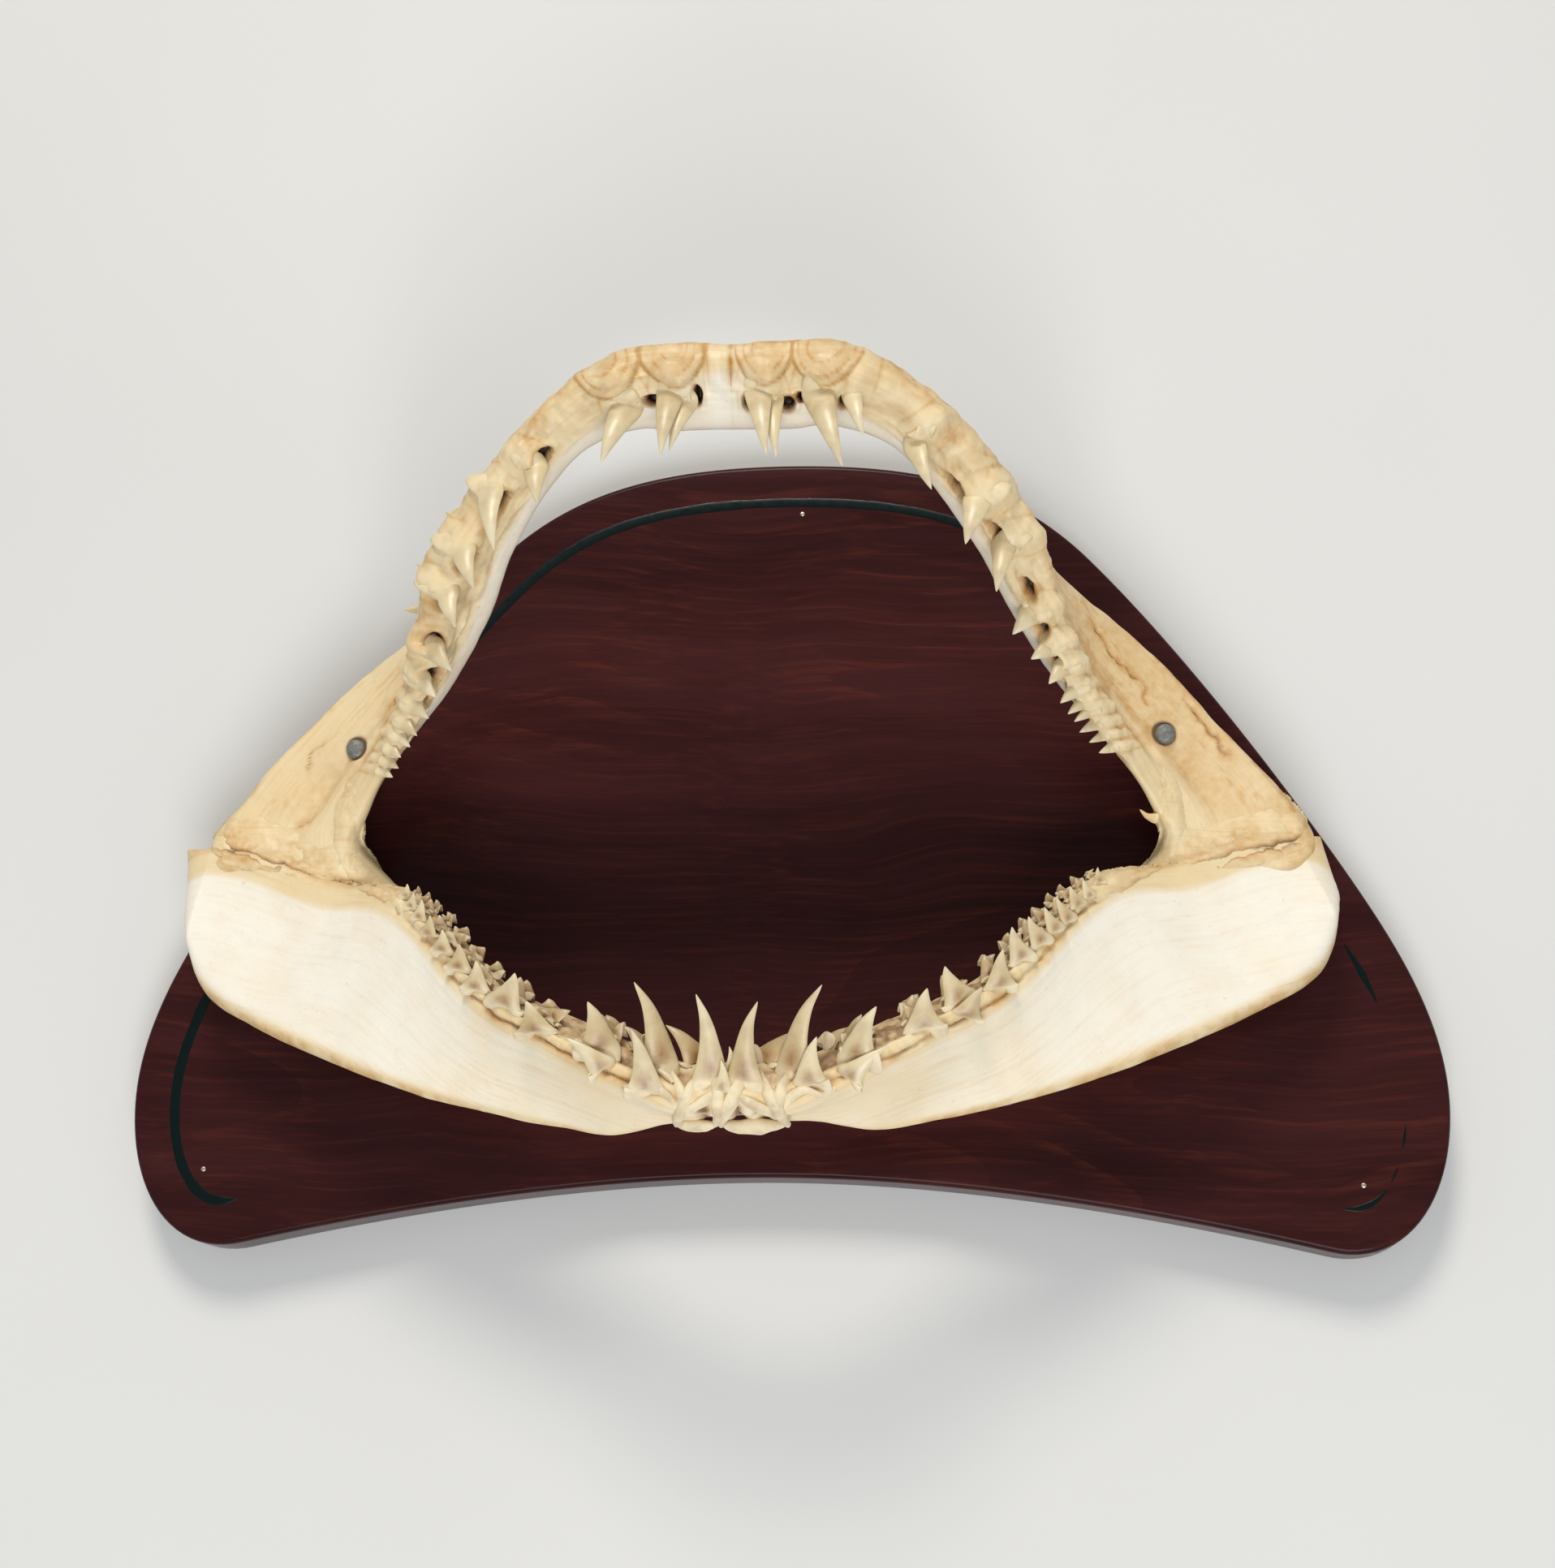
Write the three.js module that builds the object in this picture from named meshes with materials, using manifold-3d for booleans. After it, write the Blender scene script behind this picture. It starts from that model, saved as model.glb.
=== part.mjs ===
// Jaws of a mako shark, dried wide open and screwed to a wooden plaque.
//
// The plaque lies on its back: its back is z = 0, +Z comes out of its face, +Y points to the
// upper jaw and +X to the viewer's right. All sizes are in millimetres.
//
// Each jaw half is a bent blade of cartilage. Two guide lines run from the middle of the mouth
// to the joint: the crest, which bears the teeth, and the rim, the blade's free edge. At every
// station a section spans from crest to rim, thick at the crest, thin at the rim, and hollowed
// by a fossa between them. The lines are given for the right half and mirrored for the left.

import * as THREE from 'three';
import { mergeVertices } from 'three/addons/utils/BufferGeometryUtils.js';
import Module from 'manifold-3d';

const wasm = await Module();
wasm.setup();

// ---- driving dimensions ---------------------------------------------------------------------

const GAP = 0.3;                    // clearance between separate pieces

const PLAQUE_THICK = 18;
const PLAQUE_BEVEL = 1.5;
const PLAQUE_TOP_Y = 121.5;         // top of the narrow arched end
// Right half of the outline: cubic curves, each with two controls and an end point.
const PLAQUE_CURVES = [
  [54, 121.5, 83, 110, 107, 86],    // arched top
  [134, 58, 169, 11, 198, -35],     // long side
  [211, -56, 228, -84, 228, -114],  // lower side
  [228, -146, 211, -169, 186, -163],  // rounded corner
  [150, -155, 75, -139.5, 0, -139.5],  // hollow bottom edge
];
const PLAQUE_CURVE_STEPS = 7;

const JAW_OFFSET_X = -7;            // the jaws sit a little left of the plaque's middle

const MIDDLE_OVERLAP = 4;           // how far a half is made past the middle before it is cut
const RAMUS_STEPS = 22;             // sections along each jaw half
const SECTION_STEPS = [0, 0.05, 0.16, 0.32, 0.5, 0.68, 0.86, 0.96, 1];

// Guide lines from the middle of the mouth to the joint, as [x, y, z].
// thick gives [half thickness at the crest, half thickness at the rim, depth of the fossa].
const UPPER = {
  crest: [
    [0, 98, 143], [16, 98, 143], [32, 97, 142], [51, 90, 136], [67, 78, 126], [83, 60, 110],
    [94, 42, 95], [107, 21, 79], [121, 3, 63], [134, -14, 48], [139, -28, 38], [124, -44, 33],
  ],
  rim: [
    [0, 115, 121], [16, 115, 121], [35, 112, 120], [57, 103, 113], [76, 87, 101], [95, 68, 86],
    [112, 57, 64], [137, 36, 46], [162, 8, 41], [181, -14, 37], [196, -30, 33], [203, -44, 31],
  ],
  thick: [
    [14, 4, 0], [14, 4, 0], [12.5, 4, 0], [11, 4, 0], [10.5, 4, 0], [10.5, 3.5, 0],
    [9.5, 3, 2], [7, 3, 6], [5.5, 3, 7], [5, 4, 5], [10, 8, 3], [17, 16, 0],
  ],
  side: 1,
};
const LOWER = {
  crest: [
    [0, -118, 93], [17, -117, 92], [41, -103, 88], [58, -93, 83], [75, -84, 78], [89, -71, 72],
    [101, -57, 65], [117, -45, 56], [140, -40, 45], [165, -35, 36], [191, -30, 31],
  ],
  rim: [
    [0, -126, 73], [20, -127, 72], [42, -131, 70], [62, -128, 68], [84, -123, 65], [106, -117, 61],
    [128, -109, 56], [151, -99, 49], [173, -88, 41], [189, -75, 34], [198, -57, 31],
  ],
  thick: [
    [11, 3, 0], [12, 3, 0], [11, 3, -1], [10, 3, -1], [9, 3.5, 0], [8, 3.5, 0],
    [7.5, 4, 1], [8, 4, 2], [9, 6, 2], [13, 11, 1], [17, 16, 0],
  ],
  side: -1,
};
const LOWER_TURN = 1.1;             // degrees: the lower jaw dried a little askew
const LOWER_TURN_Y = -100;          // height of its turning point on the middle line
const END_ROUNDING = 0.05;          // share of the half over which the joint end tapers off
const BACK_SHARE = 0.8;             // share of the depth over which the thick crest thins out
const EDGE_SHARE = 0.1;             // share of the depth over which crest and rim are rounded
const EDGE_START = 0.035;           // keeps the rounded crest from closing to a knife edge
const EDGE_END = 0.02;              // and the rim
const CREST_BULGE = 0.35;           // how far the rounded crest rises, per mm of half thickness
const FOSSA_PLACE = 0.7;            // below 1 the deepest part lies nearer to the crest

// The joint parts the jaws along a slanting plane, which meets the face in this line.
const PARTING_INNER = [104, -52];
const PARTING_OUTER = [206, -30];
const PARTING_LEAN = 0.25;          // how far the plane leans to -Y for each mm of depth
const PARTING_TOP_Z = 60;
const PARTING_START = 14;           // how far inward of its inner point the cut begins
const FAR = 400;                    // beyond the object on every side

// Teeth: [station along the half from 0 to 1, height of the crown, width at the root, and how
// far below the crest the tooth stands on the labial face].
const UPPER_TEETH = [
  [0.08, 25, 11, 0], [0.165, 27, 12, 0], [0.235, 13, 7.5, 1], [0.325, 17, 10, 2],
  [0.395, 22, 10, 3], [0.455, 20, 9.5, 3], [0.51, 14, 9, 3], [0.555, 11, 8, 3],
  [0.595, 9, 7, 3], [0.63, 7.5, 6, 2], [0.662, 6, 5, 2], [0.69, 5, 4.5, 1], [0.715, 4.5, 4, 1],
];
const LOWER_TEETH = [
  [0.05, 30, 12, 0], [0.135, 31, 13, 2], [0.215, 23, 12, 7], [0.305, 19, 11, 11],
  [0.365, 16, 9.5, 10], [0.42, 12, 8.5, 8], [0.465, 9.5, 7.5, 6], [0.503, 8, 6.5, 5],
  [0.537, 7, 5.5, 4], [0.568, 6, 5, 3], [0.597, 5, 4.5, 2], [0.624, 4.5, 4, 1],
];
const TOOTH_SIDES = 6;
const TOOTH_RINGS = [[0, 1], [0.3, 0.8], [0.65, 0.4]];  // [along, share of the width]
const TOOTH_RINGS_SMALL = [[0, 1]];
const SMALL_TOOTH = 12;             // crowns shorter than this are plain cones
const TOOTH_FLATNESS = 0.62;        // thickness over width
const TOOTH_LEAN = 52;              // degrees that a tooth leans into the mouth from the crest
const TOOTH_UPRIGHT = 0.7;          // how far the front crowns line up with each other
const TOOTH_LIFT = 0.3;             // how far those crowns point out of the mouth
const UPRIGHT_FADE = [0.45, 0.65];  // stations between which the crowns turn square to the ramus
const TOOTH_HOOK = 0.2;             // sideways bow of the crown over its height
const TOOTH_SEAT = 0.6;             // share of the crest's half thickness that teeth stand out at
const TOOTH_ROOT = 5;               // depth that the root is sunk in the crest
const TOOTH_TIP = 0.35;             // blunt radius left at the tip

const SCREW_PLACES = { right: [140.5, 8.5], left: [-140.5, 5.5] };  // from the middle of the jaws
const SCREW_HEAD_RADIUS = 3.6;
const SCREW_HEAD_HEIGHT = 2.6;
const SCREW_SHANK_RADIUS = 1.9;
const SCREW_HEAD_Z = 40;            // underside of the head
const SCREW_TIP_Z = 5;
const SCREW_SIDES = 16;
const SCREW_WELL = 12;              // the hole for a screw goes on this far above its head

const BRAD_PLACES = { top: [5.5, 102], left: [-201, -138], right: [198, -141] };
const BRAD_RADIUS = 0.9;
const BRAD_HEIGHT = 0.4;            // how far the head stands above the plaque
const BRAD_LENGTH = 9;
const BRAD_SIDES = 10;

const wood = new THREE.MeshStandardMaterial({ color: 0x42211f, roughness: 0.35, metalness: 0 });
const cartilage = new THREE.MeshStandardMaterial({ color: 0xeedcb2, roughness: 0.6, metalness: 0 });
const steel = new THREE.MeshStandardMaterial({ color: 0x74746e, roughness: 0.4, metalness: 0.9 });

// ---- solids ---------------------------------------------------------------------------------

function toManifold(geometry) {
  const bare = geometry.clone();
  bare.deleteAttribute('normal');
  bare.deleteAttribute('uv');
  const merged = mergeVertices(bare, 1e-4);
  return new wasm.Manifold(new wasm.Mesh({
    numProp: 3,
    vertProperties: new Float32Array(merged.attributes.position.array),
    triVerts: new Uint32Array(merged.index.array),
  }));
}

function toGeometry(manifold) {
  const { vertProperties, triVerts } = manifold.getMesh();
  const geometry = new THREE.BufferGeometry();
  geometry.setAttribute('position', new THREE.BufferAttribute(new Float32Array(vertProperties), 3));
  geometry.setIndex(new THREE.BufferAttribute(new Uint32Array(triVerts), 1));
  geometry.computeVertexNormals();
  return geometry;
}

// A closed skin over rings of equal length. Both ends are closed by strips across the ring, from
// each point of its first half to its partner in the second half.
function loft(rings) {
  const count = rings[0].length;
  const half = count / 2;
  const positions = rings.flat().flatMap((p) => [p.x, p.y, p.z]);
  const index = [];
  const quad = (a, b, c, d) => index.push(a, b, c, a, c, d);
  for (let r = 0; r < rings.length - 1; r += 1) {
    for (let i = 0; i < count; i += 1) {
      const j = (i + 1) % count;
      quad(r * count + i, r * count + j, (r + 1) * count + j, (r + 1) * count + i);
    }
  }
  const last = (rings.length - 1) * count;
  for (let i = 0; i < half - 1; i += 1) {
    const partner = count - 1 - i;
    quad(partner, partner - 1, i + 1, i);
    quad(last + i, last + i + 1, last + partner - 1, last + partner);
  }
  const geometry = new THREE.BufferGeometry();
  geometry.setAttribute('position', new THREE.Float32BufferAttribute(positions, 3));
  geometry.setIndex(index);
  return geometry;
}

// The loft turned the right way out, whichever way its rings ran.
function solidLoft(rings) {
  const solid = toManifold(loft(rings));
  if (solid.volume() > 0) return solid;
  return toManifold(loft(rings.map((ring) => ring.slice().reverse())));
}

const guide = (points) => new THREE.CatmullRomCurve3(
  points.map((p) => new THREE.Vector3(...p)), false, 'catmullrom', 0.5);

// The blade's guides and its frame at a station: crest point, unit vectors down the blade to the
// rim, out of its labial face and along the ramus, and the thickness values there.
function bladeFrame(jaw, station) {
  const crestLine = guide(jaw.crest);
  const crest = crestLine.getPoint(station);
  const along = crestLine.getTangent(station);
  const down = guide(jaw.rim).getPoint(station).sub(crest);
  const depth = down.length();
  down.normalize();
  const labial = new THREE.Vector3().crossVectors(along, down).normalize().multiplyScalar(jaw.side);
  return { crest, depth, down, labial, along, thick: guide(jaw.thick).getPoint(station) };
}

// Section ring: the labial face from crest to rim, then the lingual face back to the crest.
function bladeSection(jaw, station) {
  const { crest, depth, down, labial, thick } = bladeFrame(jaw, station);
  const taper = Math.sqrt(Math.min(1, (1 + END_ROUNDING / 5 - station) / END_ROUNDING));
  const [crestHalf, rimHalf, fossa] = [thick.x * taper, thick.y * taper, thick.z];
  const face = (u, sign) => {
    const half = THREE.MathUtils.lerp(crestHalf, rimHalf, THREE.MathUtils.smoothstep(u, 0, BACK_SHARE));
    const inset = Math.min(u + EDGE_START, 1 + EDGE_END - u);
    const round = Math.min(1, Math.sqrt(inset / EDGE_SHARE));
    const hollow = fossa * Math.sin(Math.PI * Math.pow(u, FOSSA_PLACE));
    const reach = u * depth - crestHalf * CREST_BULGE * (1 - round);
    return crest.clone().addScaledVector(down, reach)
      .addScaledVector(labial, sign * half * round - hollow);
  };
  const front = SECTION_STEPS.map((u) => face(u, 1));
  const back = SECTION_STEPS.map((u) => face(u, -1));
  return front.concat(back.reverse());
}

function blade(jaw) {
  const rings = [];
  for (let i = 0; i <= RAMUS_STEPS; i += 1) {
    const ring = bladeSection(jaw, i / RAMUS_STEPS);
    ring.forEach((p) => { p.z = Math.max(p.z, PLAQUE_THICK + GAP); });
    if (i === 0) rings.push(ring.map((p) => new THREE.Vector3(-MIDDLE_OVERLAP, p.y, p.z)));
    rings.push(ring);
  }
  return solidLoft(rings);
}

// A tooth: elliptical rings on a bowed centre line from inside the crest to a small blunt tip.
// The front crowns point across the mouth, those near the joint square to the ramus.
function tooth(jaw, [station, height, width, drop]) {
  const { crest, down, labial, along, thick } = bladeFrame(jaw, station);
  const lean = THREE.MathUtils.degToRad(TOOTH_LEAN);
  const square = down.clone().multiplyScalar(-Math.cos(lean)).addScaledVector(labial, -Math.sin(lean));
  const across = new THREE.Vector3(0, -jaw.side, TOOTH_LIFT).normalize();
  const upright = TOOTH_UPRIGHT * (1 - THREE.MathUtils.smoothstep(station, ...UPRIGHT_FADE));
  const rise = square.lerp(across, upright).normalize();
  const flat = new THREE.Vector3().crossVectors(along, rise).normalize();
  const base = crest.clone().addScaledVector(labial, thick.x * TOOTH_SEAT)
    .addScaledVector(down, drop);
  const reach = height + TOOTH_ROOT;
  const centre = (t) => base.clone().addScaledVector(rise, t * reach - TOOTH_ROOT)
    .addScaledVector(along, TOOTH_HOOK * height * t * t);
  const ringAt = (t, radius) => Array.from({ length: TOOTH_SIDES }, (_, k) => {
    const angle = (k / TOOTH_SIDES) * Math.PI * 2;
    return centre(t).addScaledVector(along, radius * Math.cos(angle))
      .addScaledVector(flat, radius * TOOTH_FLATNESS * Math.sin(angle));
  });
  const shape = height < SMALL_TOOTH ? TOOTH_RINGS_SMALL : TOOTH_RINGS;
  const rings = shape.map(([t, share]) => ringAt(t, (width / 2) * share));
  return solidLoft([...rings, ringAt(1, TOOTH_TIP)]);
}

// Everything on the far side of the slanting plane through the joint, as a wide wedge.
function partingWedge(side) {
  const [ix, iy] = PARTING_INNER;
  const [ox, oy] = PARTING_OUTER;
  const slope = (oy - iy) / (ox - ix);
  const lineY = (x, z) => iy + slope * (x - ix) - PARTING_LEAN * (PARTING_TOP_Z - z);
  const corner = (x, z, far) => new THREE.Vector3(
    x, far ? side * FAR : lineY(x, z) - (side * GAP) / 2, z);
  const ring = (x) => [
    corner(x, -FAR), corner(x, FAR), corner(x, FAR, true), corner(x, -FAR, true),
  ];
  return solidLoft([ring(ix - PARTING_START), ring(FAR)]);
}

// Half of one jaw with its teeth, turned about the middle line and trimmed at the joint.
function jawHalf(jaw, teeth, turn) {
  const toothed = teeth.reduce((solid, row) => solid.add(tooth(jaw, row)), blade(jaw));
  const leaning = toothed.translate([0, -LOWER_TURN_Y, 0]).rotate([0, 0, turn])
    .translate([0, LOWER_TURN_Y, 0]);
  const beyondMiddle = new THREE.BoxGeometry(FAR, 2 * FAR, 2 * FAR)
    .translate((GAP - FAR) / 2, 0, 0);
  return leaning.subtract(partingWedge(-jaw.side)).subtract(toManifold(beyondMiddle));
}

// ---- plaque and fixings ---------------------------------------------------------------------

function plaqueShape() {
  const shape = new THREE.Shape();
  shape.moveTo(0, PLAQUE_TOP_Y);
  PLAQUE_CURVES.forEach((c) => shape.bezierCurveTo(...c));
  const ends = [[0, PLAQUE_TOP_Y], ...PLAQUE_CURVES.map((c) => [c[4], c[5]])];
  PLAQUE_CURVES.slice().reverse().forEach(([ax, ay, bx, by], k) => {
    const [x, y] = ends[PLAQUE_CURVES.length - 1 - k];
    shape.bezierCurveTo(-bx, by, -ax, ay, -x, y);
  });
  return shape;
}

function plaqueSolid() {
  const geometry = new THREE.ExtrudeGeometry(plaqueShape(), {
    depth: PLAQUE_THICK - 2 * PLAQUE_BEVEL,
    curveSegments: PLAQUE_CURVE_STEPS,
    bevelEnabled: true,
    bevelThickness: PLAQUE_BEVEL,
    bevelSize: PLAQUE_BEVEL,
    bevelOffset: -PLAQUE_BEVEL,
    bevelSegments: 1,
  });
  geometry.translate(0, 0, PLAQUE_BEVEL);
  return toManifold(geometry);
}

// A round fixing standing on +Z: [radius, z] pairs from the tip up, on the axis at both ends.
function turned(profile, sides, x, y) {
  const geometry = new THREE.LatheGeometry(profile.map((p) => new THREE.Vector2(...p)), sides);
  geometry.rotateX(Math.PI / 2);
  geometry.translate(x, y, 0);
  const solid = toManifold(geometry);
  if (solid.volume() > 0) return solid;
  geometry.index.array.reverse();
  return toManifold(geometry);
}

// The screw grown by a clearance: none for the screw itself, GAP for the hole that holds it.
function screwProfile(clearance) {
  const shank = SCREW_SHANK_RADIUS + clearance;
  const head = SCREW_HEAD_RADIUS + clearance;
  const seat = SCREW_HEAD_Z - clearance;
  const top = SCREW_HEAD_Z + SCREW_HEAD_HEIGHT + (clearance ? SCREW_WELL : 0);
  return [
    [0, SCREW_TIP_Z - clearance], [shank * 0.7, SCREW_TIP_Z + 3], [shank, SCREW_TIP_Z + 8],
    [shank, seat], [head, seat], [head, seat + SCREW_HEAD_HEIGHT * 0.45],
    [clearance ? head : head * 0.82, clearance ? top : seat + SCREW_HEAD_HEIGHT * 0.8],
    [clearance ? head : head * 0.45, top], [0, top],
  ];
}

function bradProfile(clearance) {
  const radius = BRAD_RADIUS + clearance;
  const tip = PLAQUE_THICK - BRAD_LENGTH;
  const top = PLAQUE_THICK + BRAD_HEIGHT + clearance;
  return [[0, tip - clearance], [radius, tip + 1], [radius, top - 0.2], [radius * 0.6, top], [0, top]];
}

// ---- the object -----------------------------------------------------------------------------

function named(name, manifold, material) {
  const mesh = new THREE.Mesh(toGeometry(manifold), material);
  mesh.name = name;
  return mesh;
}

const screwAt = ([x, y], clearance) => turned(
  screwProfile(clearance), SCREW_SIDES, JAW_OFFSET_X + x, y);
const bradAt = ([x, y], clearance) => turned(bradProfile(clearance), BRAD_SIDES, x, y);

const upper = jawHalf(UPPER, UPPER_TEETH, 0);
const seated = (half) => half.translate([JAW_OFFSET_X, 0, 0]);
const mirrored = (half) => half.mirror([1, 0, 0]);
const drill = (solid, places, fixingAt) => Object.values(places)
  .reduce((rest, place) => rest.subtract(fixingAt(place, GAP)), solid);

const jaws = {
  upper_jaw_right: drill(seated(upper), SCREW_PLACES, screwAt),
  upper_jaw_left: drill(seated(mirrored(upper)), SCREW_PLACES, screwAt),
  lower_jaw_right: seated(jawHalf(LOWER, LOWER_TEETH, LOWER_TURN)),
  lower_jaw_left: seated(mirrored(jawHalf(LOWER, LOWER_TEETH, -LOWER_TURN))),
};

const model = new THREE.Group();
const screwed = drill(plaqueSolid(), SCREW_PLACES, screwAt);
model.add(named('plaque', drill(screwed, BRAD_PLACES, bradAt), wood));
Object.entries(jaws).forEach(([name, half]) => model.add(named(name, half, cartilage)));
Object.entries(SCREW_PLACES).forEach(([name, place]) => {
  model.add(named(`screw_${name}`, screwAt(place, 0), steel));
});
Object.entries(BRAD_PLACES).forEach(([name, place]) => {
  model.add(named(`brad_${name}`, bradAt(place, 0), steel));
});

// Stand the object on its origin: the middle of its outline, at the plaque's back.
const bounds = new THREE.Box3().setFromObject(model);
const centre = bounds.getCenter(new THREE.Vector3());
model.position.set(-centre.x, -centre.y, 0);

export default model;
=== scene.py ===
"""Jaws of a mako shark, dried wide open and screwed to a stained wooden plaque.

Everything is worked out in millimetres in the plaque's own frame: x to the viewer's right from
the plaque's middle, y towards the upper jaw, z out of the plaque from its back. The frame's
boxes then say where that lies on the floor, and points become metres on the way into a mesh.
"""

import math

import bpy
import numpy as np
from bpy.props import FloatProperty, FloatVectorProperty, PointerProperty
from mathutils import Matrix, Vector


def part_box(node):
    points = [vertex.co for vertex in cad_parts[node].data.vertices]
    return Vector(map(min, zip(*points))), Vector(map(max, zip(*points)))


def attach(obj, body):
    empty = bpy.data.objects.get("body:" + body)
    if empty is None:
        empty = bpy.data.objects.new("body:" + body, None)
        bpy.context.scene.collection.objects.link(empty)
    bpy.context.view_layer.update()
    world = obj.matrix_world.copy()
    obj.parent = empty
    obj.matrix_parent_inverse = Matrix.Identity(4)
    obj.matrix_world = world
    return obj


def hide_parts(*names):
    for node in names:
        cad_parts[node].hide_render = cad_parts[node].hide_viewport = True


bl_info = {
    "name": "Mounted Mako Jaws",
    "version": (1, 0, 0),
    "blender": (4, 5, 0),
    "location": "View3D > Sidebar > Jaws",
    "description": "Builds dried shark jaws with their teeth on a stained plaque",
    "category": "Object",
}

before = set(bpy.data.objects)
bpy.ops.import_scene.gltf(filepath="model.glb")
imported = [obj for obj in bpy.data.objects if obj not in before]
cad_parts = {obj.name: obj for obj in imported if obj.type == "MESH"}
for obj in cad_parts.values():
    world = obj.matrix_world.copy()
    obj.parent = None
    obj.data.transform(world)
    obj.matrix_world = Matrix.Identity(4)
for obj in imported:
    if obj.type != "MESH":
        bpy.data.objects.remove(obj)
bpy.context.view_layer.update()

# ---- sizes in millimetres -----------------------------------------------------------------------

PLAQUE_TOP_Y = 121.5
SHIFT_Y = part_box("plaque")[1].y * 1000 - PLAQUE_TOP_Y     # from the plaque's frame to the floor's
PLAQUE_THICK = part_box("plaque")[1].z * 1000
JAW_X = -7.0                                              # the jaws' middle, left of the plaque's

# Right half of the plaque's outline: cubic curves, each with two controls and an end point.
PLAQUE_CURVES = [
    [54, 121.5, 83, 110, 107, 86],
    [134, 58, 169, 11, 198, -35],
    [211, -56, 228, -84, 228, -114],
    [228, -146, 211, -169, 186, -163],
    [150, -155, 75, -139.5, 0, -139.5],
]

# Guide lines of the right halves from the middle of the mouth to the joint. thick holds the half
# thickness at the crest and at the rim and the depth of the fossa; back is the share of the
# depth over which the thick crest thins out; face is the sign that turns the labial face outward;
# turn is in degrees, about the vertical through (0, turn_y).
UPPER = {
    "crest": [
        [0, 98, 143], [16, 98, 143], [32, 97, 142], [51, 90, 136], [67, 78, 126], [83, 60, 110],
        [94, 42, 95], [107, 21, 79], [121, 3, 63], [134, -14, 48], [139, -28, 38], [124, -44, 33],
    ],
    "rim": [
        [0, 115, 121], [16, 115, 121], [35, 112, 120], [57, 103, 113], [76, 87, 101], [93, 65, 84],
        [110, 55, 60], [137, 36, 46], [163, 9, 41], [183, -12.5, 37], [191, -25, 34], [188, -38, 31],
    ],
    "thick": [
        [14, 4, 0], [14, 4, 0], [12.5, 4, 0], [11, 4, 0], [10.5, 4, 0], [10.5, 3.5, 0],
        [9.5, 3, 2], [7, 3, 6], [5.5, 3, 7], [5, 4, 5], [10, 8, 3], [17, 16, 0],
    ],
    "back": [[0.8]] * 6 + [[0.6], [0.5], [0.5], [0.6], [0.8], [0.8]],
    "face": 1,
    "turn": 0.0,
    "turn_y": 0.0,
}
LOWER = {
    "crest": [
        [0, -118, 93], [17, -117, 92], [41, -103, 88], [58, -93, 83], [75, -84, 78], [89, -71, 72],
        [101, -57, 65], [117, -45, 56], [140, -40, 45], [170.5, -29, 37], [194.5, -27.5, 32],
    ],
    "rim": [
        [0, -126, 73], [20, -127, 72], [42, -131, 70], [62, -128, 68], [84, -123, 65],
        [106, -117, 61], [128, -109, 56], [151, -99, 49], [173, -88, 41], [193, -74, 35],
        [200, -50, 31],
    ],
    "thick": [
        [11, 3, 0], [12, 3, 0], [11, 3, -1], [10, 3, -1], [9, 3.5, 0], [8, 3.5, 0],
        [7.5, 4, 1], [8, 4, 2], [7, 5, 2], [6.5, 8, 1], [7, 11, 0],
    ],
    "back": [[0.8]] * 11,
    "face": -1,
    "turn": 1.1,
    "turn_y": -100.0,
}
STATIONS = 480            # along a half
CAP_PLACES = 26           # round a quarter of the crest
LIP_PLACES = 9            # round a quarter of the rim
FACE_PLACES = 46          # down a face between them
CAP_HEIGHT = 0.8          # height of the rounded crest, per half thickness
CAP_SHARE_MOST = 0.3      # of the depth
LIP_SHARE_MOST = 0.2
END_ROUNDING = 0.05       # share of the half over which the joint end rounds off
END_LEFT = 0.001
FOSSA_PLACE = 0.7         # below 1 the fossa is deepest nearer to the crest
NOISE_CELLS = 32
NOISE_SHIFT = 100.0       # keeps the lattice of the noise away from the middle line

# Teeth, as they grew: base x and y, tip x and y from the jaws' middle, and width of the crown.
UPPER_TEETH = {
    1: [
        (9, 97, 12.5, 73, 8), (13, 94, 15, 73, 6.5), (28, 97, 36.5, 69, 9.5), (39, 96, 43, 79.5, 6.5),
        (59, 84, 64.5, 66, 8), (79, 68, 74.5, 51, 9), (87.5, 57, 84.5, 39, 8), (96, 38.5, 89.5, 30.5, 8),
        (102, 29, 95.5, 24, 7), (106.5, 23, 101.5, 16.5, 6), (110.5, 17, 105.5, 12, 5),
        (113, 13.5, 108, 9, 4.5), (115, 11, 110, 7, 4), (117, 7.5, 112, 4.5, 3.5),
        (119.5, 4, 115, 1.5, 3), (122, 0, 118, -2, 3),
    ],
    -1: [
        (-19.5, 97, -21.5, 73.5, 8), (-14.5, 94, -19, 76, 6.5), (-34, 94, -41, 73, 9.5),
        (-66, 79.5, -64, 65, 8), (-80.5, 72, -77, 48.5, 9), (-92, 56, -86.5, 40.5, 8.5),
        (-98.5, 44.5, -94, 30.5, 8), (-105, 29.5, -97.5, 20.5, 8), (-110, 20.5, -104.5, 14, 7),
        (-114, 14, -108.5, 9, 6), (-118, 9, -113, 4, 5), (-120.5, 5, -116.5, 1, 4.5),
        (-123.5, 1.5, -120, -1.5, 4), (-125.5, -2, -122, -4.5, 3.5), (-127.5, -5, -124.5, -7, 3),
    ],
}
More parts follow.
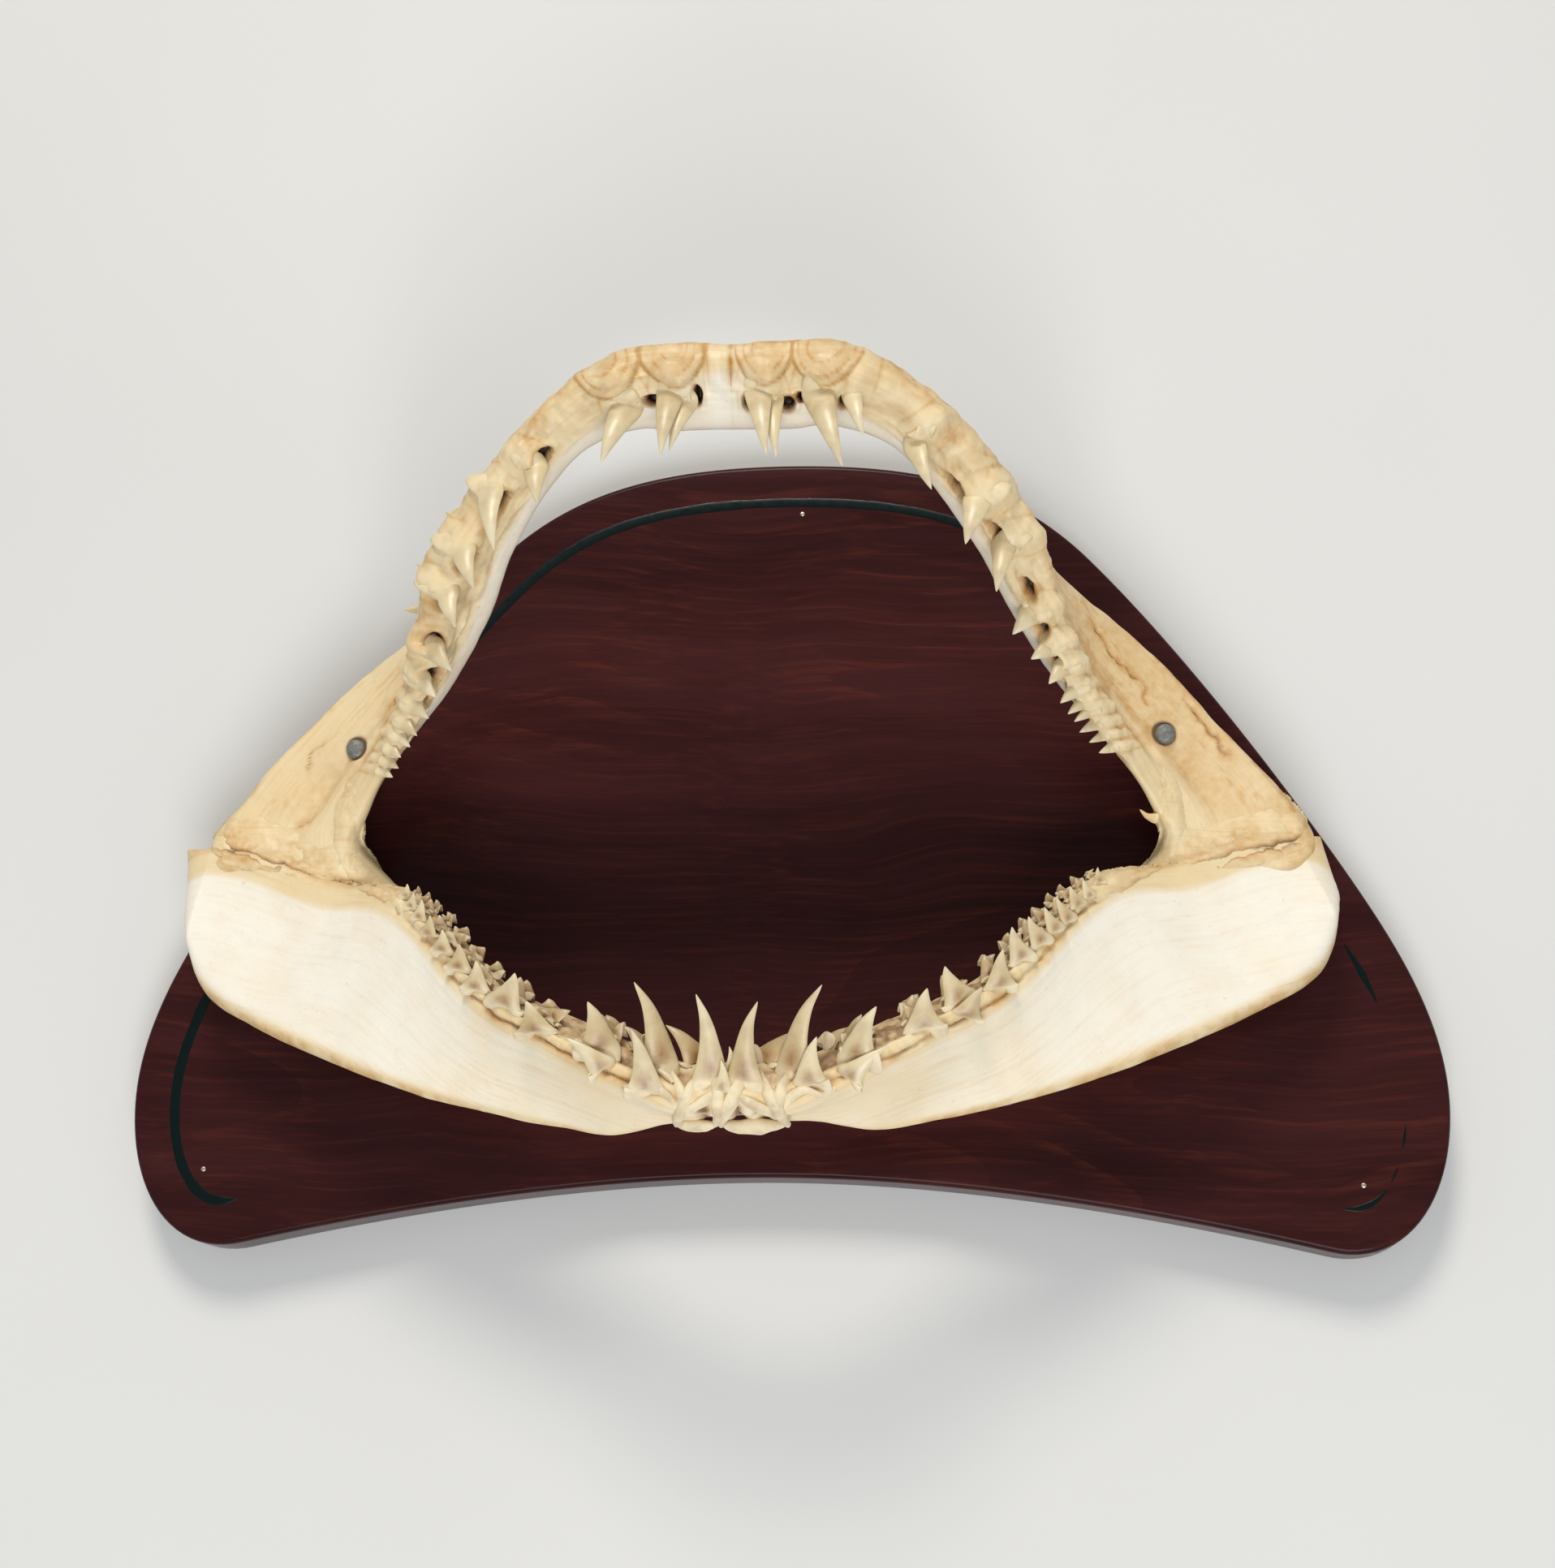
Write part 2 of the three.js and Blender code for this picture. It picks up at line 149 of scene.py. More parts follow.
LOWER_TEETH = {
    1: [
        (3.5, -118, 8, -94.5, 8), (19, -114.5, 28.5, -89, 9), (40, -111, 46, -95.5, 10),
        (60, -100, 61, -88.5, 9), (73, -95, 78, -86.5, 7), (71.5, -91, 67, -81, 8),
        (84, -85, 85, -74, 7), (91, -76, 88, -66.5, 6.5), (97, -70, 93, -62, 6),
        (101.5, -65, 98, -58, 5.5), (106, -61, 102, -54, 5), (109.5, -56, 107, -50, 4.5),
        (113, -52.5, 111, -47, 4), (117, -47.5, 116.5, -43, 3),
    ],
    -1: [
        (-7, -117, -11.5, -92, 8), (-24, -113, -32, -88, 9), (-44, -108, -47.5, -94, 10),
        (-64.5, -101, -67.5, -92, 9), (-76, -92, -72.5, -82.5, 9), (-86.5, -86, -86.5, -77.5, 7),
        (-93, -79, -93, -71.5, 6.5), (-99.5, -72, -99.5, -65.5, 6), (-105, -66, -104.5, -60, 5),
        (-109.5, -60, -108.5, -54, 4.5), (-113, -56, -112, -51.5, 4), (-116, -52, -115.5, -48, 3),
    ],
}

# Whiter lower teeth on the labial side, and younger ones that lie in the shelf.
WHITE_TEETH = {
    1: [(24.5, -119, 26.5, -105, 8), (37, -116.5, 48.5, -107.5, 6.5)],
    -1: [(-28, -120.5, -32.5, -102.5, 8), (-42, -114, -53, -105, 6.5),
         (-3.1, -121.5, -3.5, -112.3, 4.5), (-1, -115, -1.4, -108, 3.2)],
}
SPARE_TEETH = {
    1: [(9, -107, 22.7, -98, 7.5), (28.2, -103.5, 36.7, -97.6, 6), (58, -97.5, 53.6, -93, 5)],
    -1: [(-13, -106.5, -23.1, -95.2, 7.5), (-30, -103, -35.8, -96.6, 5.5), (-60, -97, -54, -95, 5)],
}

# Pits beside the upper teeth: millimetres along and across from the crest, half length, half
# width and depth.
UPPER_PITS = {
    1: [
        (5, -4, 1.6, 2.6, 7), (18, -5, 2.4, 2.4, 7), (23, -3, 2.6, 1.6, 6), (37, -2, 1.6, 2.8, 7),
        (85, -1, 5.5, 2.0, 7), (106, 1.5, 5, 1.8, 7), (127, 2, 4.2, 1.9, 6), (142, 0, 3, 2.4, 5),
        (154, -0.5, 2.4, 1.8, 4), (162, -2, 1.8, 1.4, 3),
    ],
    -1: [
        (11, -2, 1.6, 3.2, 7), (26, -3, 3.0, 1.7, 7), (69, 0, 3.4, 2.0, 6), (91, 2.5, 5, 1.7, 7),
        (112, 4, 4.5, 1.8, 7), (129, 5, 3.5, 1.7, 6), (144, 4, 3, 1.8, 5), (157, 1, 2.6, 2.2, 4),
        (167, -0.5, 2, 1.6, 3),
    ],
}
# Gum scallops over the front upper teeth: millimetres along the crest, and radius.
UPPER_SCALLOPS = {1: [(11, 9.0), (28, 8.5)], -1: [(18, 9.5), (37, 9.0)]}
SCALLOP_TOP = 12.0        # across from the crest to the middle of the scallops
SCALLOP_RINGS = 2.7       # from one ring wave to the next
TENT_HEIGHT = 2.6         # of the gum over a tooth of the full width or more
TENT_FULL_WIDTH = 7.5
FOLD_CREASE = 4.0         # from the middle fold to the creases beside it
FLANGE_HOLLOW = (150, -9, 13)      # x, y and radius
CRACK_WANDER = 1.1        # how far a crack strays from its path

# How far the upper band swells to the labial and to the lingual side, at stations 0 to 1.
UPPER_SWELL = {
    1: ([0, 0.1, 0.18, 0.3, 0.42, 0.5, 0.58], [1, 1, 3, 3.5, 4, 1.5, 0]),
    -1: ([0, 0.1, 0.18, 0.3, 0.38, 0.45, 0.52, 0.58, 0.68], [1, 1, 2, 1.5, 2.5, 5.5, 8, 6, 1]),
}
LINGUAL_SWELL = ([0, 0.12, 0.3], [3.5, 3.5, 0])
# How far the guide points of the left half stand from the right half's: at the upper rim behind
# the band, and at the lower crest by the joint.
LEFT_RIM_SHIFT = [[0, 0, 0]] * 6 + [
    [-3, -5, 0], [-1, -1, 0], [2, 0.5, 0], [1.5, 0, 0], [3, 1, 0], [6, 0, 0],
]
LEFT_CREST_SHIFT = [[0, 0, 0]] * 9 + [[5.5, 4, 0], [7.5, 5, 0]]
# Cracks in the flanges: path in plan from the jaws' middle, half width, depth, and how strong
# both the tan stain beside the crack and the painted shade inside it are.
UPPER_CRACKS = {
    1: [([(115.5, 45), (120, 37), (123, 32.5), (133.8, 24.3), (134.4, 18.5)], 0.7, 1.0, 0.55),
        ([(150.4, 16.7), (156, 10), (162.6, 1.2)], 0.8, 1.0, 0.5),
        ([(146, 22), (150.4, 16.7)], 0.6, 0.6, 0.3)],
    -1: [([(-152.7, 9.9), (-158, 5), (-158.9, -0.8)], 0.6, 0.7, 0.35),
         ([(-125.3, 20.5), (-124.7, 19)], 1.0, 2.0, 0.8),
         ([(-140, -4), (-150, -14), (-165, -22)], 0.8, 0.6, 0.2)],
}
# Shreds of gum on either side: guide lines of x outward from the jaws' middle, y, z, half width and
# half height.
SHREDS = {
    1: [[(166, -10, 38, 3, 2.4), (172, -7, 38, 1.8, 1.5), (176, -5, 38.5, 0.5, 0.5)],
        [(138, -21, 46, 2.5, 2), (134, -20, 47, 1.2, 1.1), (131.5, -18, 48, 0.3, 0.3)]],
    -1: [[(94, 70, 94, 3, 2.2), (99, 73.5, 93, 2, 1.4), (103, 77, 92, 0.3, 0.3)],
         [(104, 58, 84, 3, 2.2), (110, 59.5, 82, 1.8, 1.2), (115, 62.5, 80, 0.3, 0.3)],
         [(109, 49, 74, 3, 2.2), (115, 49, 71, 1.8, 1.2), (121.5, 50, 68, 0.3, 0.3)],
         [(113, 42, 64, 2.2, 2), (117, 41.5, 63, 1.4, 1.1), (121, 42, 62, 0.3, 0.3)]],
}
TUBE_STATIONS = 60        # along a shred or a lobe
TUBE_PLACES_ROUND = 36
# The skin over a joint: ribbons as paths in plan from the jaws' middle with their half widths, and
# the crease between the jaws.
SKIN_STEPS = 110          # along a ribbon
SKIN_PLACES = 33          # across it
SKIN_BLEND = 2.5          # millimetres over which the two jaws' heights blend
SKIN_THICK = 2.5
SKIN_REACH = 1.3          # from a jaw's edge in plan, as far as the skin rests on it
SKIN_SUNK = 2.0           # how deep points beyond both jaws lie under their edge
OFF_JAW = -50.0           # a height that stands for no jaw
JOINT_FROM_X = 90         # the surfaces near a joint lie beyond this x
SKIN_FACES_UP = 0.05      # the skin rests on points whose normal rises at least this much
SKIN_PATHS = {
    1: [([(137, 0), (142, -12), (142, -27), (133, -39), (119, -48), (107, -56)], 6.5),
        ([(136, -27), (151, -30), (170, -25), (183, -20), (189, -20)], 11)],
    -1: [([(-137, 0), (-143, -13), (-143, -29), (-136, -41), (-123, -50), (-110, -60)], 6.5),
         ([(-138, -32), (-153, -34), (-172, -27), (-187, -23), (-194, -25)], 11)],
}
SKIN_CREASE = {
    1: [(188, -27), (172, -31), (156, -36), (140, -41), (127, -49)],
    -1: [(-192, -26), (-176, -32), (-155, -39.5), (-138, -47), (-122, -56)],
}
SIDES = ((1, "right"), (-1, "left"))

SCREW_PLACES = {"right": (133.5, 8.5), "left": (-147.5, 5.5)}
BRAD_PLACES = {"top": (5.5, 102), "left": (-201, -138), "right": (198, -141)}

# Across from the crest to the row of lower teeth, at millimetres along the crest.
LOWER_ROW = ([0, 20, 40, 60, 85, 110, 135, 150], [-1, 4, 8, 11, 10, 10, 9, 8])
UPPER_FOLD_X = -4.0       # the fold where the upper halves join dried a little to the left
RECESS_RADIUS = 4.2
RECESS_DEPTH = 1.2
PLAQUE_GAP = 0.3          # the least distance from the cartilage down to the plaque
SHARP_DEGREES = 75        # edges that are sharper than this stay sharp
SEAT_FACES_UP = 0.15      # least upward share of the normal where a tooth or a screw can sit
SEAT_HEIGHT = 0.05        # how much a millimetre of height counts against one of distance

TOOTH_RINGS = 28
TOOTH_PLACES_ROUND = 20
# A tooth's half width and half thickness at places from the root's end (0) to the tip (1), as
# shares of the crown's half width. The root is a petal in the upper jaw and forked in the lower.
TOOTH_PLACES = [0, 0.07, 0.16, 0.28, 0.4, 0.5, 0.62, 0.76, 0.88, 0.96, 1]
PETAL_WIDTH = [0.05, 0.35, 0.75, 1.1, 1.15, 1.0, 0.77, 0.53, 0.3, 0.14, 0.03]
PETAL_DEPTH = [0.08, 0.3, 0.5, 0.62, 0.66, 0.6, 0.48, 0.34, 0.2, 0.1, 0.02]
FORKED_WIDTH = [0.8, 1.3, 1.6, 1.7, 1.48, 1.12, 0.8, 0.54, 0.3, 0.14, 0.03]
FORKED_DEPTH = [0.2, 0.3, 0.42, 0.52, 0.58, 0.56, 0.47, 0.34, 0.2, 0.1, 0.02]
# How the teeth of a row sit. root and root_gain: length of the root in crown widths, and what the
# front ones add; proud, middle and end_proud: height of the axis over the jaw at the seat, the
# root's middle and its end, mm; lift: rise of the tip per length in plan; bow and side_bow: bend of
# the crown outward and towards the middle; face_up: how far its face turns up; lobe: reach of the
# root's lobes; groove: depth and stain of the hollow between them; stain: what the whole tooth
# adds to that; gum: how much gum stains the root; shade: range of age, from white to dark ivory.
UPPER_FORM = {
    "width": PETAL_WIDTH, "depth": PETAL_DEPTH, "root": 1.1, "root_gain": 0, "proud": 1.6,
    "middle": 1.1, "end_proud": -2.2, "lift": 0.22, "bow": 0.11, "side_bow": 0.0, "face_up": 1.2,
    "lobe": 0.0, "groove": 0.0, "stain": 0.0, "gum": 1.0, "shade": (0, 0.6), "seed": 5,
}
LOWER_FORM = {
    "width": FORKED_WIDTH, "depth": FORKED_DEPTH, "root": 0.35, "root_gain": 0.3, "proud": 1.4,
    "middle": 0.3, "end_proud": -1.8, "lift": 0.3, "bow": 0.06, "side_bow": 0.06, "face_up": 0.4,
    "lobe": 0.06, "groove": 0.5, "stain": 0.0, "gum": 0.0, "shade": (0.2, 0.9), "seed": 6,
}
WHITE_FORM = {
    **LOWER_FORM, "root_gain": 0.0, "proud": 1.7, "middle": 0.2, "end_proud": -3.0, "lift": 0.2,
    "shade": (0, 0.05), "seed": 7,
}
# The spare teeth lie in the sunken shelf: their darkest ivory and brown stain are partly their own colour
# and partly painted shade.
SPARE_FORM = {
    **LOWER_FORM, "root": 0.5, "root_gain": 0, "proud": 0.3, "middle": 0.2, "end_proud": -0.8,
    "lift": 0.25, "bow": 0.1, "face_up": 2.0, "lobe": 0.1, "stain": 0.25, "shade": (0.9, 1), "seed": 9,
}
SPARE_SEED = 8
SPARE_ROWS = ((4.5, 0.7), (8.0, 0.5))      # distance behind the standing row, and share of its length
# Lobes of the front lower roots, draped over the chin: x from the jaws' middle, y, z, half width
# and half height.
ROOT_LOBES = {
    1: [[(7.5, -112, 87.5, 1.2, 1.0), (9.8, -119, 93.4, 1.9, 1.2), (12.7, -125.3, 94.3, 2.0, 1.2),
         (15.0, -128.7, 92.0, 1.8, 1.2), (16.0, -129.7, 84, 1.5, 1.2), (16.2, -130.0, 76, 1.2, 1.1)],
        [(2.5, -112.5, 87.5, 1.2, 1.0), (1.9, -119, 94.0, 1.9, 1.2), (-0.3, -124.5, 94.5, 2.0, 1.2),
         (-2.8, -128.7, 92.5, 1.8, 1.2), (-4.6, -129.8, 85, 1.5, 1.2), (-5.6, -130.2, 76, 1.2, 1.1)],
        [(1.0, -122.6, 93.6, 0.8, 0.7), (4.5, -124.6, 94.4, 1.6, 1.0), (9.5, -127.0, 94.0, 1.7, 1.1),
         (14.0, -128.8, 92.0, 1.2, 1.0)],
        [(-5, -129.8, 77, 1.2, 1), (-1, -129.8, 75.5, 2.3, 1.6), (7, -129.9, 74.9, 2.5, 1.6),
         (15.5, -129.4, 75.5, 1.4, 1)],
        [(18.4, -111, 86, 1.0, 0.8), (17.3, -115.5, 90.6, 1.6, 1.1), (15.8, -120, 94.0, 1.8, 1.2),
         (14.6, -125, 94.4, 1.6, 1.1), (15.0, -128.9, 92.0, 1.0, 0.8)],
        [(36, -118.8, 90.5, 0.7, 0.6), (31.1, -121, 93.5, 1.4, 0.9), (27.8, -122.6, 93.7, 1.7, 1.0),
         (23, -121, 94.3, 1.7, 1.1), (18.9, -123, 94.4, 1.6, 1.0), (15.4, -128.4, 92.6, 1.0, 0.8)]],
    -1: [[(-10, -111.5, 86.5, 1.2, 1.0), (-12.5, -118.5, 92.0, 1.9, 1.2), (-15, -124.4, 94.3, 2.0, 1.2),
          (-17.2, -128.7, 92.0, 1.8, 1.2), (-19.0, -129.8, 84, 1.5, 1.2), (-20.3, -130.0, 76, 1.2, 1.1)],
         [(-6.6, -112, 87.5, 1.2, 1.0), (-5.4, -118.5, 93.7, 1.8, 1.2), (-4.9, -123.5, 94.5, 1.8, 1.2),
          (-5.2, -128.6, 92.5, 1.6, 1.2), (-6.2, -129.8, 85, 1.4, 1.1), (-7.4, -130.2, 77, 1.1, 1.0)],
         [(-16.8, -128.4, 92.8, 1.0, 0.9), (-12.2, -126.4, 94.0, 1.6, 1.0), (-8.2, -123.8, 94.5, 1.6, 1.0),
          (-5.0, -120.5, 93.6, 0.8, 0.7)],
         [(-20.5, -129.4, 76, 1.2, 1), (-16, -129.8, 75.5, 2.2, 1.5), (-11, -129.8, 75.5, 2.2, 1.5),
          (-7, -129.5, 76.5, 1.2, 1)],
         [(-22.2, -111, 85.5, 1.0, 0.8), (-20.3, -115.5, 90.0, 1.6, 1.1), (-17.6, -120.3, 93.2, 1.8, 1.2),
          (-16.2, -125.4, 94.2, 1.6, 1.1), (-17.2, -128.9, 92.0, 1.0, 0.8)],
         [(-38, -118.8, 90.5, 0.7, 0.6), (-33.6, -120.5, 93.5, 1.4, 0.9), (-28.8, -121.8, 94.1, 1.7, 1.0),
          (-24.7, -120.6, 94.3, 1.7, 1.1), (-20.5, -123.5, 94.0, 1.6, 1.0),
          (-17.2, -128.4, 92.6, 1.0, 0.8)]],
}
# Hollows between those lobes, sunk and darkened with painted shade: x, y and radius.
ROOT_HOLLOWS = [
    (0.6, -127.4, 2.1), (8.6, -129, 1.9), (-9.6, -127.6, 2.2), (4.6, -118, 1.9), (-8.9, -118.5, 1.7),
]

PLAQUE_CURVE_STEPS = 60
PLAQUE_PLACES = 400
PLAQUE_MIDDLE = (0.0, -40.0)
EDGE_PLACES = 8           # round the face's edge, and up the side
FACE_RINGS = 30
FACE_HOLE = 0.02          # share of the outline that the innermost ring of a face keeps
LINE_PLACES = 1200
LINE_STEPS = 260
LINE_CROWN = 0.12
# Strips of the border line: start and end as shares of the way round from the top, clockwise,
# and share of the full width.
LINE_STRIPS = [
    (-0.349, 0.21, 1.0), (0.232, 0.2525, 0.7), (0.293, 0.3015, 0.45), (0.308, 0.315, 0.45),
    (0.3185, 0.3465, 0.6),
]
LINE_PLACES_ROUND = 12
LINE_GAP = 0.02           # from the face of the board to the middle of a strip

# Radius and height of the fixings' outlines, from the bottom up; the screws' first height is moved
# into the plaque.
SCREW_PROFILE = [
    (1.9, -14), (1.9, -3.2), (3.3, -3.0), (3.6, -2.4), (3.6, -1.8),
    (3.45, -1.2), (3.1, -0.7), (2.4, -0.3), (1.5, -0.1), (0.5, 0),
]
SCREW_PROUD = 0.9         # top of the dome over the cartilage
BRAD_PROFILE = [(0.6, 15), (0.7, 18.0), (0.95, 18.1), (0.9, 18.35), (0.6, 18.5), (0.2, 18.55)]
LATHE_PLACES = 48

CAMERA_PLACE = (86.05, -245.98, 931.41)
CAMERA_TARGET = (-1.9, -0.1, 18.0)
CAMERA_ROLL = 1.02
SENSOR_HEIGHT = 36.0
CAMERA_FOCAL_PX = 3288.0
IMAGE_HEIGHT_PX = 1932.0

# The stage, in metres.
FLOOR_HALF = 3.0
LIT_PLACE = (0, 0, 0.05)


# ---- shape tools --------------------------------------------------------------------------------

def unit(v):
    """Vectors of length one."""
    return v / np.maximum(np.linalg.norm(v, axis=-1, keepdims=True), 1e-9)


def smooth(low, high, x):
    """0 below low, 1 above high, and an even S curve between them."""
    t = np.clip((x - low) / (high - low), 0, 1)
    return t * t * (3 - 2 * t)


def bell(x, width):
    """1 at x = 0, falling away evenly on both sides over about the given width."""
    return np.exp(-((x / width) ** 2))


def between(low, rise, fall, high, x):
    """0 outside low to high, 1 from rise to fall, and S curves on both slopes."""
    return smooth(low, rise, x) * (1 - smooth(fall, high, x))


def guide(points, t):
    """Point at t (0 to 1) on the uniform Catmull-Rom curve through the points: on each stretch the
    cubic whose end slopes are half the chord between the neighbours, mirrored past both ends."""
    p = np.asarray(points, float)
    p = np.vstack([2 * p[0] - p[1], p, 2 * p[-1] - p[-2]])
    last = len(p) - 3
    x = np.clip(t, 0, 1) * last
    k = np.minimum(x.astype(int), last - 1)
    f = (x - k)[..., None]
    a, b, c, d = (p[k + i] for i in range(4))
    return 0.5 * (2 * b + (c - a) * f + (2 * a - 5 * b + 4 * c - d) * f**2 + (3 * b - a - 3 * c + d) * f**3)


def noise(points, size, seed):
    """Smooth random heights from -1 to 1: random values on a cubic lattice of pitch size, blended
    by S curves along the three axes."""
    lattice = np.random.default_rng(seed).uniform(-1, 1, (NOISE_CELLS,) * 3)
    q = np.asarray(points) / size + NOISE_SHIFT
    cell = np.floor(q).astype(int)
    f = q - cell
    w = f * f * (3 - 2 * f)
    total = np.zeros(q.shape[:-1])
    for corner in np.ndindex(2, 2, 2):
        at = (cell + corner) % NOISE_CELLS
        share = np.prod(np.where(corner, w, 1 - w), axis=-1)
        total += share * lattice[at[..., 0], at[..., 1], at[..., 2]]
    return total


def rough(points, size, seed, octaves=3):
    """Noise summed over octaves, each half the size and half the height of the one before."""
    return sum(noise(points, size / 2**k, seed + k) / 2**k for k in range(octaves))


def turned(points, degrees, about_y):
    """Points turned about the vertical through (0, about_y)."""
    c, s = math.cos(math.radians(degrees)), math.sin(math.radians(degrees))
    x, y = points[..., 0], points[..., 1] - about_y
    return np.stack([c * x - s * y, s * x + c * y + about_y, points[..., 2]], axis=-1)


# ---- jaw halves ---------------------------------------------------------------------------------

def blade(jaw, side):
    """One jaw half. At each station a ring goes from the rim up the lingual face, over the crest and
    down the labial face. Across the ring the half thickness blends from crest to rim, swells as a
    quarter ellipse at both edges, and the fossa pushes both faces inward by a sine. Returns the
    points as stations by ring places, and the chart of millimetres along and across from the crest."""
    s = np.linspace(0, 1, STATIONS)
    crest, rim, thick = (guide(jaw[k], s) for k in ("crest", "rim", "thick"))
    along = unit(np.gradient(crest, axis=0))
    down = rim - crest
    depth = np.linalg.norm(down, axis=-1)[:, None]
    labial = unit(np.cross(along, down)) * jaw["face"]
    taper = np.sqrt(np.clip((1 + END_LEFT - s) / END_ROUNDING, 0, 1))[:, None]
    crest_half, rim_half, fossa = (thick[:, k : k + 1] for k in range(3))
    crest_half, rim_half = crest_half * taper, rim_half * taper

    quarter = np.linspace(0, np.pi / 2, CAP_PLACES)
    lip = np.linspace(0, np.pi / 2, LIP_PLACES)
    middle = np.linspace(0, 1, FACE_PLACES)[1:-1]
    cap_share = np.minimum(crest_half * CAP_HEIGHT / depth, CAP_SHARE_MOST)
    lip_share = np.minimum(rim_half / depth, LIP_SHARE_MOST)
    u = np.hstack([
        cap_share * (1 - np.cos(quarter)),
        cap_share + (1 - cap_share - lip_share) * middle,
        1 - lip_share * (1 - np.sin(lip)),
    ])
    swell = np.concatenate([np.sin(quarter), np.ones(len(middle)), np.cos(lip)])
    back = guide(jaw["back"], s)[:, :1]
    half = swell * (crest_half + (rim_half - crest_half) * smooth(0, 1, u / back))
    hollow = fossa * np.sin(np.pi * np.clip(u, 0, 1) ** FOSSA_PLACE)

    def face(sign):
        shift = sign * half - hollow
        return crest[:, None] + down[:, None] * u[..., None] + labial[:, None] * shift[..., None]

    points = np.concatenate([face(-1)[:, ::-1], face(1)[:, 1:-1]], axis=1)
    top = u.shape[1] - 1
    step = np.linalg.norm(np.diff(points, axis=1), axis=-1)
    across = np.pad(np.cumsum(step, axis=1), ((0, 0), (1, 0)))
    across -= across[:, top : top + 1]
    length = np.append(0, np.cumsum(np.linalg.norm(np.diff(crest, axis=0), axis=-1)))
    share = np.concatenate([u[:, ::-1], u[:, 1:-1]], axis=1)
    points[..., 0] *= side
    points = turned(points, jaw["turn"], jaw["turn_y"])
    chart = {"along": length[:, None] + 0 * across, "across": across, "share": share,
             "station": s[:, None] + 0 * across, "labial": np.arange(points.shape[1]) >= top}
    return points, chart


def normals(points):
    """Unit normals of a grid that is closed round its second direction, turned outward."""
    p = points
    du = np.gradient(p, axis=0)
    dv = np.roll(p, -1, axis=1) - np.roll(p, 1, axis=1)
    n = unit(np.cross(du, dv))
    middle = p.mean(axis=1, keepdims=True)
    return n if np.sum((p - middle) * n) > 0 else -n


def bare_coat(chart):
    """The height, the stains and the painted shade (the dark entry) that the relief functions add
    to, all at nothing.
    """
    return {key: np.zeros_like(chart["along"]) for key in ("lift", "tan", "dark", "pale")}


def paint_shade(coat, amount):
    """Raises the painted shade, kept in the dark entry, to at least the given amount."""
    coat["dark"] = np.maximum(coat["dark"], amount)


def crack(points, path, width):
    """1 on a wandering crack through the path's points, seen in plan, falling to 0 beside it."""
    path = np.array(path, float) + [JAW_X, 0]
    at = points[..., :2] + CRACK_WANDER * np.stack([rough(points, 4, 51), rough(points, 4, 55)], axis=-1)
    nearest = np.full(at.shape[:-1], np.inf)
    for a, b in zip(path[:-1], path[1:]):
        t = np.clip((at - a) @ (b - a) / ((b - a) @ (b - a)), 0, 1)
        nearest = np.minimum(nearest, np.linalg.norm(at - a - t[..., None] * (b - a), axis=-1))
    return bell(nearest, width)


def folds(chart, seed):
    """Wandering folds along the ramus: the noise's zero lines, on stretched coordinates."""
    spread = np.stack([chart["along"] * 0.22, chart["across"], 0 * chart["across"]], axis=-1)
    return 1 - np.abs(rough(spread, 6, seed)) * 1.6


def band_gum(points, chart, coat):
    """Crinkled and folded gum on the outside of the upper band, and the pale wall inside it."""
    across, station = chart["across"], chart["station"]
    band = 1 - smooth(0.7, 0.8, station)
    gum = between(-7, -2, 13, 17, across) * band
    line = folds(chart, 17)
    strength = 0.3 + 0.4 * smooth(0.2, 0.35, station)
    crinkle = strength * (rough(points, 6, 11) + 0.5 * rough(points, 2.4, 12))
    coat["lift"] += gum * (crinkle + smooth(0.3, 1, line)) + 0.2 * rough(points, 12, 13)
    blotches = 0.35 * smooth(0.4, 0.9, line) + 0.35 * smooth(-0.2, 0.8, rough(points, 9, 14))
    coat["tan"] += 0.12 + 0.55 * gum * smooth(0.1, 0.8, -crinkle) + gum * smooth(-2, 4, across) * blotches
    coat["pale"] += 0.85 * between(-20, -14, -6, -3, across) * band


def gum_tents(chart, roots, coat):
    """A tent of gum over each upper tooth, lower over the small ones, with a darker tan line in the
    crease along both its sides."""
    for a, c, width in roots:
        up = chart["across"] - c
        beside = chart["along"] - a
        half = 0.7 * width * (1 - 0.45 * smooth(0, 14, up))
        tent = bell(beside, half) * between(-5, 0, 9, 17, up)
        height = TENT_HEIGHT * min(1, width / TENT_FULL_WIDTH)
        coat["lift"] += height * tent * (1 - 0.75 * smooth(6, 12, chart["across"]))
        coat["tan"] *= 1 - 0.8 * tent
        coat["tan"] += 0.45 * bell(np.abs(beside) - 1.35 * half, 0.5) * between(0, 3, 9, 15, up)


def gum_scallops(points, chart, places, coat):
    """Discs of folded gum with ring waves, a raised lower half, and a painted shadow line along
    their edge under it.
    """
    across = chart["across"]
    for a, radius in places:
        r = np.hypot(chart["along"] - a, (across - SCALLOP_TOP) * 0.9) + 0.6 * noise(points, 5, 18)
        inside = (1 - smooth(radius - 0.7, radius + 0.3, r)) * (1 - smooth(11, 15, across))
        rings = bell((r / SCALLOP_RINGS) % 1 - 0.5, 0.11) * smooth(2.5, 4, r)
        rings *= smooth(-0.5, 0.3, noise(points, 4, 19))
        coat["lift"] += inside * (1.5 - 0.35 * rings) * (1 - smooth(6, 11, across))
        coat["tan"] *= 1 - inside
        coat["tan"] += inside * (0.46 + 0.75 * rings + 0.25 * rough(points, 5, 40))
        # painted shadow: a tan and darker line along the lower edge, under the raised lip
        edge = bell(r - radius - 0.3, 0.45) * (1 - smooth(SCALLOP_TOP - 1, SCALLOP_TOP + 3, across))
        coat["tan"] += 0.9 * edge
        paint_shade(coat, 0.2 * edge)


